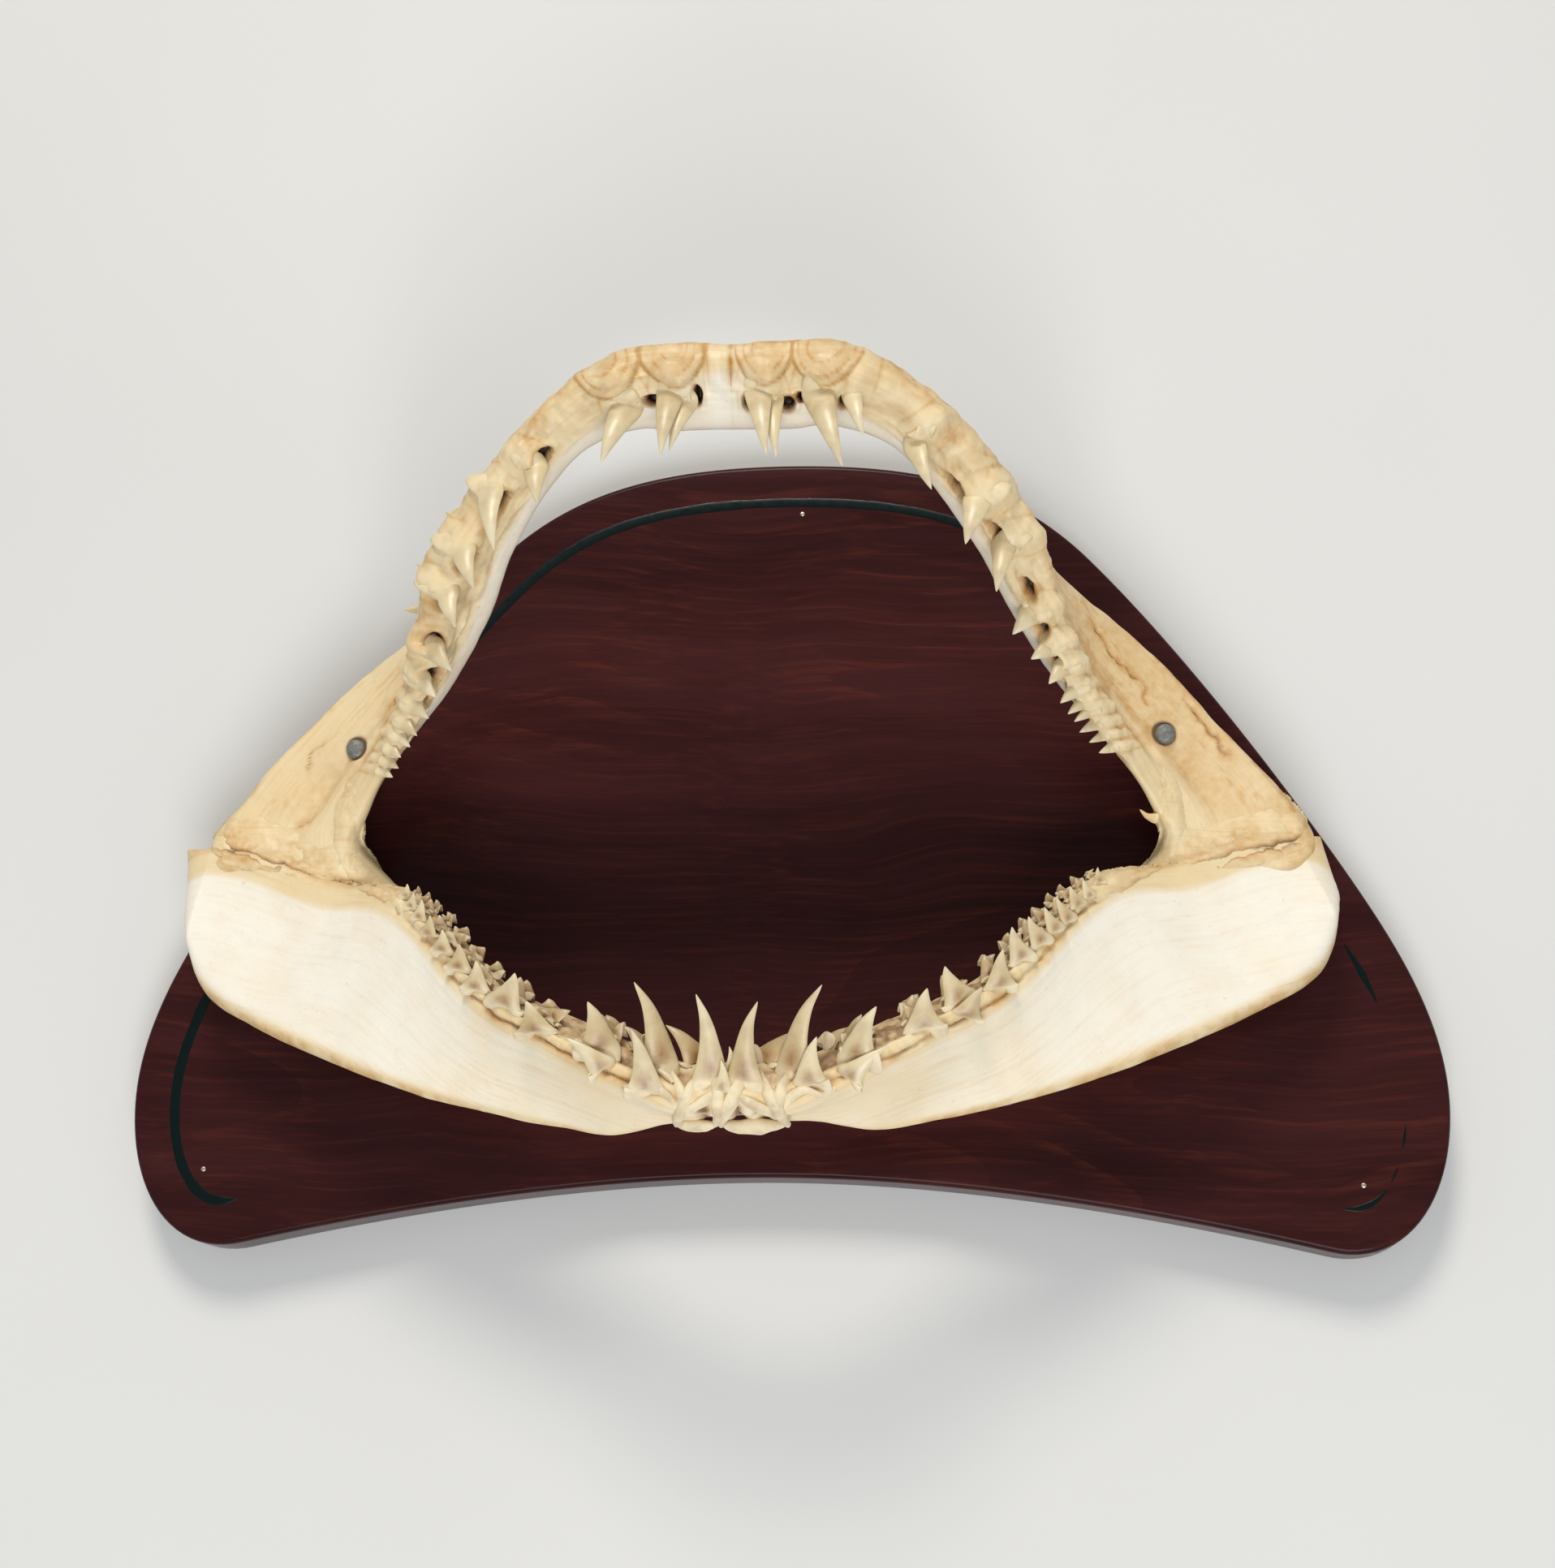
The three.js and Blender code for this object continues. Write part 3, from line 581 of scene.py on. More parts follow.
def gum_pits(points, chart, places, coat):
    """Pits beside the teeth with painted shade on their slopes and at their bottom, and a raised lip
    on the side of the band.
    """
    along, across = chart["along"], chart["across"]
    for a, c, long, wide, deep in places:
        r = np.hypot((along - a) / long, (across - c) / wide) + 0.15 * noise(points, 2, 20)
        hole = 1 - smooth(0.5, 1.25, r)
        coat["lift"] += 0.9 * bell(r - 1.5, 0.35) * (across > c - wide) - deep * hole
        # painted shade: tan on the slope of each pit and, below, near black at its bottom
        coat["tan"] += 0.5 * bell(r - 1.1, 0.3)
        paint_shade(coat, smooth(0.3, 0.9, hole))


def middle_fold(points, chart, coat):
    """The ridge between two creases where the upper halves join, on a clear patch, and the stained
    top of the band."""
    across = chart["across"]
    band = 1 - smooth(0.7, 0.8, chart["station"])
    coat["tan"] += 0.6 * band * between(11, 15, 22, 30, across) * smooth(-0.6, 0.3, rough(points, 8, 37))
    fold = points[..., 0] - UPPER_FOLD_X
    crease = np.abs(fold) - FOLD_CREASE
    front = between(-2, 2, 14, 18, across)
    coat["lift"] += front * (1 - smooth(7, 12, across)) * (1.3 * bell(fold, 2.6) - bell(crease, 0.8))
    coat["tan"] += 0.8 * front * bell(crease, 0.9)
    clear = bell(fold, 9) * between(-24, -18, 2, 8, across)
    coat["pale"] = np.maximum(coat["pale"], clear)
    coat["tan"] *= 1 - 0.9 * clear


def upper_flange(points, chart, side, coat):
    """The flange behind its step: low swells, blotches, a stained rim, a shallow hollow near the
    joint and ragged cracks with painted shade inside them."""
    across, station, share = chart["across"], chart["station"], chart["share"]
    step = between(0.42, 0.5, 0.72, 0.8, station)
    coat["lift"] += step * (1.2 * bell(across - 11, 2.5) - 1.6 * bell(across - 15.5, 2.2))
    coat["tan"] += 0.35 * step * bell(across - 15.5, 1.6)
    flange = smooth(0.45, 0.52, station) * smooth(0.3, 0.45, share) * chart["labial"]
    coat["lift"] += 0.5 * flange * rough(points, 16, 35)
    coat["tan"] += flange * (0.08 + 0.1 * side + 0.3 * smooth(-0.3, 0.6, rough(points, 20, 15)))
    coat["tan"] += flange * 0.3 * smooth(0.8, 1, folds(chart, 36))
    coat["tan"] += 0.75 * smooth(0.93, 1.0, share) * smooth(-0.5, 0.3, rough(points, 6, 16))
    x, y, radius = FLANGE_HOLLOW
    hollow = bell(np.hypot(points[..., 0] - side * x, points[..., 1] - y), radius) * flange
    coat["lift"] -= 2.5 * hollow
    coat["tan"] += 0.35 * hollow
    for path, width, deep, stain in UPPER_CRACKS[side]:
        ragged = flange * smooth(-0.8, 0.1, noise(points, 3.5, 38))
        split = crack(points + [JAW_X, 0, 0], path, 0.6 * width) * ragged
        coat["lift"] -= deep * split
        coat["tan"] += stain * 1.2 * crack(points + [JAW_X, 0, 0], path, width * 1.6) * flange
        # painted shade inside the crack
        paint_shade(coat, stain * split)


def upper_relief(points, chart, side, roots):
    """Height to add along the normal, and stains and painted shade, for an upper half."""
    coat = bare_coat(chart)
    band_gum(points, chart, coat)
    gum_tents(chart, roots, coat)
    gum_scallops(points, chart, UPPER_SCALLOPS[side], coat)
    gum_pits(points, chart, UPPER_PITS[side], coat)
    middle_fold(points, chart, coat)
    upper_flange(points, chart, side, coat)
    return coat


def lower_gum(points, chart, roots, coat):
    """The gum of a lower half: a sunken shelf between the crest and the row of teeth, hollows
    between the front roots, a mound round each root and a thin seam below the row. The shelf, the
    hollows and the seam are darkened with painted shade."""
    along, across = chart["along"], chart["across"]
    row = np.interp(along, *LOWER_ROW)
    fade = 1 - smooth(0.66, 0.74, chart["station"])
    shelf = between(-8, -3, row - 2.5, row - 0.3, across) * fade
    gum = between(-9, -2, row + 3, row + 5, across) * fade
    coat["lift"] -= 2.6 * shelf * (0.7 + 0.5 * rough(points, 5, 21))
    coat["lift"] += gum * (0.5 * rough(points, 5, 22) + 0.3 * rough(points, 1.8, 23))
    coat["lift"] += 0.2 * rough(points, 14, 24)
    coat["tan"] += 0.1 + 0.45 * gum * smooth(-0.4, 0.7, rough(points, 7, 25)) * (1 - shelf)
    # painted shade in the sunken shelf
    coat["dark"] += shelf * (0.3 + 0.3 * smooth(-0.5, 0.5, rough(points, 4, 26)))
    for x, y, radius in ROOT_HOLLOWS:
        spot = bell(np.hypot(points[..., 0] - x, points[..., 1] - y), radius) * smooth(-4, 0, across)
        coat["lift"] -= 2.4 * spot
        # painted shade in the hollows between the front roots
        paint_shade(coat, 0.72 * spot)
    mound = np.zeros_like(along)
    for a, c, width in roots:
        r = np.hypot((along - a) / width, (across - c - 0.6 * width) / (1.1 * width))
        mound = np.maximum(mound, bell(r, 0.9))
    coat["lift"] += 0.8 * mound
    coat["tan"] *= 1 - 0.5 * mound
    below = row + 3.4 + 5.5 * (1 - smooth(0, 22, along))
    below = below + 0.8 * noise(points, 9, 27) + 0.4 * noise(points, 3, 28)
    seam = bell(across - below, 0.7) * fade * smooth(12, 22, along)
    coat["lift"] -= seam
    # painted shade in the groove of the seam
    paint_shade(coat, 0.6 * seam * smooth(-0.5, 0.3, noise(points, 12, 29)))
    coat["tan"] += 0.8 * bell(across - below, 1.8) * fade * smooth(-0.3, 0.6, noise(points, 10, 30))


def lower_plate(points, chart, coat):
    """The smooth plate of a lower half: pale towards the joint, with shallow ripples, a stained
    fold at the joint and a stained rim."""
    across, station, share = chart["across"], chart["station"], chart["share"]
    row = np.interp(chart["along"], *LOWER_ROW)
    plate = smooth(0, 1, (across - row - 5) / 4) * chart["labial"]
    joint = smooth(0.68, 0.78, station) * (1 - smooth(3, 9, across + noise(points, 8, 39)))
    whiteness = (0.4 + 0.6 * smooth(0.2, 0.66, station)) * (1 - smooth(0.9, 0.97, share))
    coat["pale"] += plate * whiteness * (1 - joint)
    coat["lift"] += plate * (0.08 * smooth(0.6, 1, folds(chart, 32)) + 0.4 * rough(points, 24, 33))
    coat["tan"] += 0.5 * joint + 0.06 * plate * (smooth(0.8, 1, folds(chart, 34)) - 1)
    coat["tan"] += 0.75 * smooth(0.93, 0.99, share) * smooth(-0.7, 0.4, rough(points, 7, 31))


def lower_relief(points, chart, side, roots):
    """Height to add along the normal, and stains and painted shade, for a lower half."""
    coat = bare_coat(chart)
    lower_gum(points, chart, roots, coat)
    lower_plate(points, chart, coat)
    return coat


def screw_recess(points, place):
    """How deep the cartilage is sunk round a screw's head: 1 inside the head's circle, 0 outside."""
    d = np.hypot(points[..., 0] - place[0], points[..., 1] - place[1])
    return 1 - smooth(RECESS_RADIUS - 0.5, RECESS_RADIUS + 0.5, d)


# ---- meshes -------------------------------------------------------------------------------------

def metres(points):
    """Points of the plaque's frame, in millimetres, as metres over the floor."""
    return (np.asarray(points) + [0, SHIFT_Y, 0]) * 0.001


def shells(name, grids, attributes=None, strip_ends=False):
    """One mesh of N closed shells from a (N, rings, places, 3) array. Rings are closed round, and
    the ends are closed by a fan to their middle, or by strips between partner places."""
    count, rings, places, _ = grids.shape
    index = np.arange(rings * places).reshape(rings, places)
    right = np.roll(index, -1, axis=1)
    quads = np.stack([index[:-1], right[:-1], right[1:], index[1:]], axis=-1).reshape(-1, 4)
    first, last = index[0], index[-1]
    if strip_ends:
        k = np.arange(2, places // 2)
        near = np.stack([first[k - 1], first[k], first[-k], first[1 - k]], axis=-1)
        away = np.stack([last[k - 1], last[k], last[-k], last[1 - k]], axis=-1)
        quads = np.concatenate([quads, near[:, ::-1], away])
        m = places // 2
        tips = np.array([[0, 1, -1], [m - 1, m, m + 1]])
        fans = np.concatenate([first[tips][:, ::-1], last[tips]])
        per_shell = rings * places
        points = grids.reshape(count, -1, 3)
    else:
        middles = np.stack([grids[:, 0].mean(axis=1), grids[:, -1].mean(axis=1)], axis=1)
        low, high = rings * places, rings * places + 1
        fans = np.concatenate([
            np.stack([np.full(places, low), right[0], first], axis=-1),
            np.stack([np.full(places, high), last, right[-1]], axis=-1),
        ])
        per_shell = rings * places + 2
        points = np.concatenate([grids.reshape(count, -1, 3), middles], axis=1)
    if signed_volume(points[0], quads) < 0:
        quads, fans = quads[:, ::-1], fans[:, ::-1]
    start = (np.arange(count) * per_shell)[:, None, None]
    faces = (quads + start).reshape(-1, 4).tolist() + (fans + start).reshape(-1, 3).tolist()
    mesh = bpy.data.meshes.new(name)
    mesh.from_pydata(metres(points).reshape(-1, 3), [], faces)
    for key, values in (attributes or {}).items():
        layer = mesh.attributes.new(key, "FLOAT", "POINT")
        values = values.reshape(count, -1)
        if not strip_ends:
            ends = np.stack([values[:, 0], values[:, -1]], axis=1)
            values = np.concatenate([values, ends], axis=1)
        layer.data.foreach_set("value", values.ravel().astype(np.float32))
    mesh.shade_smooth()
    mesh.set_sharp_from_angle(angle=math.radians(SHARP_DEGREES))
    made = bpy.data.objects.new(name, mesh)
    bpy.context.scene.collection.objects.link(made)
    return made


def signed_volume(points, quads):
    """Six times the volume inside the quads: positive when they face outwards."""
    a, b, c, d = (points[quads[:, k]] - points.mean(axis=0) for k in range(4))
    return np.sum(a * np.cross(b, c)) + np.sum(a * np.cross(c, d))


def finish(piece, material, slot, *nodes):
    """Gives the piece its material, and ties it to the frame."""
    piece.data.materials.append(material)
    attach(piece, "root")
    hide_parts(*nodes)
    return piece


def upper_of(side):
    """The guide lines of an upper half: the left flange dried narrower than the right one."""
    if side > 0:
        return UPPER
    return {**UPPER, "rim": (np.array(UPPER["rim"]) + LEFT_RIM_SHIFT).tolist()}


def lower_of(side):
    """The guide lines of a lower half: the left joint reaches farther out than the right one."""
    if side > 0:
        return LOWER
    return {**LOWER, "crest": (np.array(LOWER["crest"]) + LEFT_CREST_SHIFT).tolist()}


def mirrored(paths, side):
    """The right half's paths, turned over in x for the left side (-1)."""
    return [[(side * p[0], *p[1:]) for p in path] for path in paths]


def jaw_surface(jaw, side):
    """The smooth surface of a jaw half in the plaque's frame, its normals and its chart. The band
    of an upper half swells to the labial side and, in front, to the lingual side."""
    points, chart = blade(jaw, side)
    if jaw["face"] > 0:
        across, station = chart["across"], chart["station"]
        labial = np.interp(station, *UPPER_SWELL[side]) * between(-3, 7, 16, 26, across)
        lingual = np.interp(station, *LINGUAL_SWELL) * between(-22, -14, -12, 0, across)
        points = points + normals(points) * (labial + lingual)[..., None]
    return points + [JAW_X, 0, 0], normals(points), chart


def seat(surface, x, y):
    """Station and place of the outer surface nearest to (x, y) of the jaws' frame in plan."""
    points, outward, _ = surface
    d = np.hypot(points[..., 0] - x - JAW_X, points[..., 1] - y)
    d = np.where(outward[..., 2] > SEAT_FACES_UP, d - SEAT_HEIGHT * points[..., 2], np.inf)
    return np.unravel_index(np.argmin(d), d.shape)


def make_jaw_half(name, jaw, side, relief, rows, material):
    """Carves a half: lifts its smooth surface along the normals, and keeps it off the plaque."""
    surface = jaw_surface(jaw, side)
    points, outward, chart = surface
    seats = [seat(surface, row[0], row[1]) for row in rows]
    roots = [(chart["along"][k], chart["across"][k], row[4]) for k, row in zip(seats, rows)]
    coat = relief(points - [JAW_X, 0, 0], chart, side, roots)
    if relief is upper_relief:
        sunk = screw_recess(points, SCREW_PLACES["right" if side > 0 else "left"]) * chart["labial"]
        coat["lift"] = coat["lift"] * (1 - sunk) - RECESS_DEPTH * sunk
        # painted shade in the recess round the screw's head
        paint_shade(coat, 0.8 * sunk)
    carved = points + outward * coat.pop("lift")[..., None]
    carved[..., 2] = np.maximum(carved[..., 2], PLAQUE_THICK + PLAQUE_GAP)
    # Of these entries, dark is painted shade; tan and pale are the cartilage's own colour.
    stains = {**coat, "along": chart["along"], "across": chart["across"]}
    stains = {key: value[None] for key, value in stains.items()}
    piece = shells(name, carved[None], stains, strip_ends=True)
    return finish(piece, material, "dried_cartilage", name)


def tooth_axis(row, surface, form):
    """Guide points from the root's end over the jaw's surface to the seat and up the bowed crown to
    the tip, and the way that the labial face looks."""
    points, outward, chart = surface
    x, y, tip_x, tip_y, width = row
    i, j = seat(surface, x, y)
    start = chart["across"][i, j]
    far = start + width * (form["root"] + form["root_gain"] * (1 - smooth(20, 36, abs(x))))
    path = []
    for reach, proud in ((far, form["end_proud"]), ((far + start) / 2, form["middle"])):
        k = min(j + np.argmin(np.abs(chart["across"][i, j:] - reach)), points.shape[1] - 1)
        path.append(points[i, k] + outward[i, k] * proud)
    base = points[i, j] + outward[i, j] * form["proud"]
    flat = np.array([tip_x - x, tip_y - y])
    length = np.hypot(*flat)
    crown = np.array([*flat, form["lift"] * length])
    face = unit(outward[i, j] + [0, 0, form["face_up"]])
    bow = (face * form["bow"] + [-np.sign(x) * form["side_bow"], 0, 0]) * length
    return path + [base, base + crown / 3 + 0.9 * bow, base + crown * 2 / 3 + bow, base + crown], face


def make_teeth(name, rows, surface, form, node, material):
    """Teeth as closed shells round curved axes. A ring is a lens whose labial side is flattened and,
    towards the root, grooved by a bell; between the two lobes of the root the ring is drawn forward
    by the square of its sine."""
    rng = np.random.default_rng(form["seed"])
    rows = np.array(rows, float)
    n = len(rows)
    axes, faces = zip(*(tooth_axis(row, surface, form) for row in rows))
    axes, face = np.array(axes).transpose(1, 0, 2), np.array(faces)
    t = np.linspace(0, 1, TOOTH_RINGS)[:, None]
    phi = np.linspace(0, 2 * np.pi, TOOTH_PLACES_ROUND, endpoint=False)[None]
    root = 1 - smooth(0.12, 0.52, t)
    front = np.maximum(np.sin(phi), 0)
    notch = form["lobe"] * (1 - smooth(0, 0.45, t)) * np.sin(phi) ** 2
    flat_axes = axes.reshape(len(axes), -1)
    axis = guide(flat_axes, t + notch).reshape(TOOTH_RINGS, -1, n, 3).transpose(2, 0, 1, 3)
    middle = guide(flat_axes, t[:, 0]).reshape(TOOTH_RINGS, n, 3)
    rise = unit(np.gradient(middle, axis=0)).transpose(1, 0, 2)[:, :, None]
    chord = unit(np.cross(axes[-1] - axes[2], face))[:, None, None]
    out = unit(np.cross(chord, rise))
    beside = np.cross(rise, out)
    half = rows[:, 4, None, None] / 2 * rng.uniform(0.94, 1.06, (n, 1, 1))
    bulge = np.sign(np.sin(phi)) * np.abs(np.sin(phi)) ** (1.5 - 0.5 * root)
    groove = form["groove"] * root * bell(np.cos(phi), 0.42) * front
    wide = np.interp(t, TOOTH_PLACES, form["width"]) * np.cos(phi)
    deep = np.interp(t, TOOTH_PLACES, form["depth"]) * bulge * np.where(np.sin(phi) > 0, 0.7, 1.0)
    grids = axis + beside * (half * wide)[..., None] + out * (half * (deep - groove))[..., None]
    grids = grids + 0.12 * noise(grids, 1.8, form["seed"])[..., None] * out * root[None, ..., None]
    hollow = bell(t - 0.47, 0.09) * bell(np.cos(phi), 0.5) * front * 2 * form["groove"] + form["stain"]
    even = np.ones((n, *hollow.shape))
    stains = {"rise": even * t, "hollow": even * hollow, "gum": even * form["gum"],
              "shade": even * rng.uniform(*form["shade"], (n, 1, 1))}
    return finish(shells(name, grids, stains), material, "tooth_enamel", node)


def spare_rows(rows, seed):
    """Rows of younger teeth lying in the shelf behind each standing lower tooth."""
    rng = np.random.default_rng(seed)
    found = []
    for x, y, tip_x, tip_y, width in rows:
        inward = unit(np.array([-0.35 * x, 55.0]))
        for back, long in SPARE_ROWS:
            start = np.array([x, y]) + inward * back + rng.uniform(-0.8, 0.8, 2)
            way = unit(np.array([tip_x - x, tip_y - y]) + rng.uniform(-5, 5, 2))
            reach = max(3.0, long * np.hypot(tip_x - x, tip_y - y) * 0.8)
            found.append((*start, *(start + way * reach), 0.75 * width))
    return found


def under(surface, plan):
    """For points in plan: the nearest outer point of a surface, and its distance in plan."""
    points, outward = surface[0][::2], surface[1][::2]
    near = points[(outward[..., 2] > SKIN_FACES_UP) & (np.abs(points[..., 0]) > JOINT_FROM_X)]
    found = np.empty(plan.shape[:2] + (3,))
    far = np.empty(plan.shape[:2])
    for row, at in enumerate(plan):
        d = np.linalg.norm(near[None, :, :2] - at[:, None], axis=-1)
        k = d.argmin(axis=1)
        found[row], far[row] = near[k], d[np.arange(len(k)), k]
    return found, far


def drape(upper, lower, plan):
    """For points in plan: the smooth maximum of both jaws' heights, the nearest point of either
    jaw, and whether the point lies off both."""
    top, top_far = under(upper, plan)
    low, low_far = under(lower, plan)
    a = np.where(top_far < SKIN_REACH, top[..., 2], OFF_JAW)
    b = np.where(low_far < SKIN_REACH, low[..., 2], OFF_JAW)
    peak = np.maximum(a, b)
    z = peak + SKIN_BLEND * np.log(np.exp((a - peak) / SKIN_BLEND) + np.exp((b - peak) / SKIN_BLEND))
    return z, np.where((top_far < low_far)[..., None], top, low), peak < 0


def make_joint_skin(name, side, nodes, material):
    """Skin and ligament dried over the joint: ribbons along paths in plan that rest on both jaws,
    raised along the path and sunk below the jaws at the ribbon's edges. Points off the jaws snap
    to their edge."""
    upper, lower = jaw_surface(upper_of(side), side), jaw_surface(lower_of(side), side)
    s = np.linspace(0, 1, SKIN_STEPS)
    v = np.linspace(-1, 1, SKIN_PLACES)[None]
    skins, stains = [], {"tan": [], "dark": []}
    for path, width in SKIN_PATHS[side]:
        line = guide(path, s) + [JAW_X, 0]
        along = unit(np.gradient(line, axis=0))
        beside = np.column_stack([-along[:, 1], along[:, 0]])
        end = (1 - np.abs(2 * s - 1) ** 5)[:, None]
        plan = line[:, None] + beside[:, None] * (v * width * np.sqrt(end + 0.01))[..., None]
        z, closest, off = drape(upper, lower, plan)
        flat = np.concatenate([plan, 0 * plan[..., :1]], axis=-1)
        cover = (1 - v**2) * end
        wrinkle = 0.5 * rough(flat, 8, 62) + 0.3 * rough(flat, 2.5, 63)
        crease, soft = (crack(flat, SKIN_CREASE[side], w) for w in (1.2, 4.0))
        lift = -1.3 + 1.9 * smooth(0.0, 1.0, cover) + cover * wrinkle - 2.0 * crease
        outer = np.concatenate([plan, (z + lift)[..., None]], axis=-1)
        outer = np.where(off[..., None], closest - [0, 0, SKIN_SUNK], outer)
        skins.append(np.concatenate([outer, outer[:, ::-1] - [0, 0, SKIN_THICK]], axis=1))
        tan = 0.2 + 0.4 * smooth(-0.1, 0.7, -wrinkle) + 0.45 * soft
        # the dark entry is painted shade in the crease between the jaws
        for key, stain in (("tan", tan), ("dark", 0.7 * crease)):
            stains[key].append(np.concatenate([stain, stain[:, ::-1]], axis=1))
    skins = np.array(skins)
    stains = {key: np.array(value) for key, value in stains.items()}
    stains |= {"pale": 0 * stains["tan"], "along": skins[..., 0], "across": skins[..., 1]}
    return finish(shells(name, skins, stains), material, "dried_cartilage", *nodes)


def tubes(bands):
    """Closed, flattened tubes along guide lines, with half widths and half heights that follow their
    own guide lines and waver by noise; and the distance from each tube's start."""
    grids = []
    s = np.linspace(0, 1, TUBE_STATIONS)
    phi = np.linspace(0, 2 * np.pi, TUBE_PLACES_ROUND, endpoint=False)[None]
    for path in bands:
        line = guide([p[:3] for p in path], s) + [JAW_X, 0, 0]
        size = guide([p[3:] for p in path], s)
        along = unit(np.gradient(line, axis=0))
        side = unit(np.cross([0, -1.0, 1.0], along))
        up = np.cross(along, side)
        end = np.sqrt(np.clip(1 - np.abs(2 * s - 1) ** 6, 0.0004, 1))[:, None]
        wide, high = (np.maximum(size[:, k : k + 1], 0.05) * end for k in (0, 1))
        across = side[:, None] * np.cos(phi)[..., None]
        outward = up[:, None] * np.sin(phi)[..., None]
        ring = line[:, None] + across * wide[..., None] + outward * high[..., None]
        waver = 0.22 * rough(ring, 7, 61) * np.minimum(wide, 3) * end
        grids.append(ring + (across + outward) * waver[..., None])
    grids = np.array(grids)
    return grids, np.linalg.norm(grids - grids[:, :1], axis=-1)


def make_shreds(name, bands, node, material):
    """Shreds of dried gum as tubes: the tan stain grows in the hollows of the noise."""
    grids, far = tubes(bands)
    tan = 0.1 + 0.6 * smooth(-0.2, 0.6, -rough(grids, 7, 61))
    stains = {"tan": tan, "dark": 0 * far, "pale": 0 * far, "along": far, "across": 0 * far}
    return finish(shells(name, grids, stains), material, "dried_cartilage", node)


def make_lobes(name, bands, node, material):
    """The forked roots of the front lower teeth as tubes, with blotchy stains."""
    grids, far = tubes(bands)
    stain = 0.3 * smooth(0.0, 0.7, rough(grids, 4, 64))
    stains = {"rise": 0.2 + 0 * far, "hollow": stain, "gum": 0.4 + 0 * far, "shade": 0 * far}
    return finish(shells(name, grids, stains), material, "tooth_enamel", node)


# ---- plaque and fixings -------------------------------------------------------------------------

def bezier(points, t):
    """Cubic curve from p0 to p3 with controls p1 and p2, by the Bernstein weights."""
    a, b, c, d = (np.asarray(p, float) for p in points)
    t = t[:, None]
    return (1 - t) ** 3 * a + 3 * (1 - t) ** 2 * t * b + 3 * (1 - t) * t**2 * c + t**3 * d


def plaque_outline(count):
    """Evenly spaced points round the plaque from its top, clockwise, and their outward normals."""
    t = np.linspace(0, 1, PLAQUE_CURVE_STEPS)
    ends = [[0, PLAQUE_TOP_Y]] + [c[4:] for c in PLAQUE_CURVES]
    right = np.concatenate([
        bezier([ends[k], c[:2], c[2:4], c[4:]], t)[:-1] for k, c in enumerate(PLAQUE_CURVES)
    ] + [np.array([ends[-1]], float)])
    path = np.concatenate([right, right[-2:0:-1] * [-1, 1]])
    loop = np.vstack([path, path[:1]])
    walked = np.append(0, np.cumsum(np.linalg.norm(np.diff(loop, axis=0), axis=1)))
    at = np.linspace(0, walked[-1], count, endpoint=False)
    even = np.column_stack([np.interp(at, walked, loop[:, k]) for k in range(2)])
    slope = unit(np.roll(even, -1, axis=0) - np.roll(even, 1, axis=0))
    return even, np.column_stack([-slope[:, 1], slope[:, 0]]), walked[-1]


def make_plaque(sizes, material):
    """The outline carried round an edge profile: a small arris at the back, a straight side, a
    quarter round at the face, and then rings that shrink to the middle of both faces."""
    outline, outward, _ = plaque_outline(PLAQUE_PLACES)
    r, arris = sizes.edge_radius, sizes.back_arris
    turn = np.linspace(0, np.pi / 2, EDGE_PLACES)
    up = np.linspace(arris, PLAQUE_THICK - r, EDGE_PLACES)[1:-1]
    inset = np.concatenate([[arris, 0], 0 * up, r * (1 - np.cos(turn))])
    z = np.concatenate([[0, arris], up, PLAQUE_THICK - r * (1 - np.sin(turn))])
    rim = outline[None] - outward[None] * inset[:, None, None]
    side = np.concatenate([rim, np.broadcast_to(z[:, None, None], rim.shape[:2] + (1,))], axis=-1)
    middle = np.array(PLAQUE_MIDDLE)
    shrink = np.linspace(1, FACE_HOLE, FACE_RINGS)[1:, None, None]

    def inward(ring):
        flat = middle + (ring[None, :, :2] - middle) * shrink
        return np.concatenate([flat, np.full(flat.shape[:2] + (1,), ring[0, 2])], axis=-1)

    grid = np.concatenate([inward(side[0])[::-1], side, inward(side[-1])])
    piece = shells("plaque_board", grid[None])
    return finish(piece, material, "stained_plywood", "plaque")


def make_line(sizes, material):
    """The painted border: strips along the outline set in by a fixed distance, each with an
    elliptical section, a width that wavers by noise and ends that taper."""
    outline, outward, around = plaque_outline(LINE_PLACES)
    strips = []
    for start, end, width in LINE_STRIPS:
        t = np.linspace(0, 1, LINE_STEPS)
        at = (start + (end - start) * t) * LINE_PLACES
        low = np.floor(at).astype(int) % LINE_PLACES
        f = (at % 1)[:, None]
        edge = outline[low] * (1 - f) + outline[(low + 1) % LINE_PLACES] * f
        out = unit(outward[low] * (1 - f) + outward[(low + 1) % LINE_PLACES] * f)
        length = abs(end - start) * around
        taper = np.minimum(1, np.minimum(t, 1 - t) * length / sizes.line_taper) ** 0.6
        ragged = 1 + 0.10 * noise(np.column_stack([edge, 0 * t]), 5, 41)
        phi = np.linspace(0, 2 * np.pi, LINE_PLACES_ROUND, endpoint=False)
        half = (width * sizes.line_width / 2 * taper * ragged)[:, None]
        centre = edge - out * sizes.line_inset
        flat = centre[:, None] + out[:, None] * (half * np.cos(phi))[..., None]
        z = PLAQUE_THICK + LINE_GAP + LINE_CROWN * np.sin(phi) + np.zeros_like(half)
        strips.append(np.concatenate([flat, z[..., None]], axis=-1))
    piece = shells("border_line", np.array(strips))
    return finish(piece, material, "line_paint", "plaque")


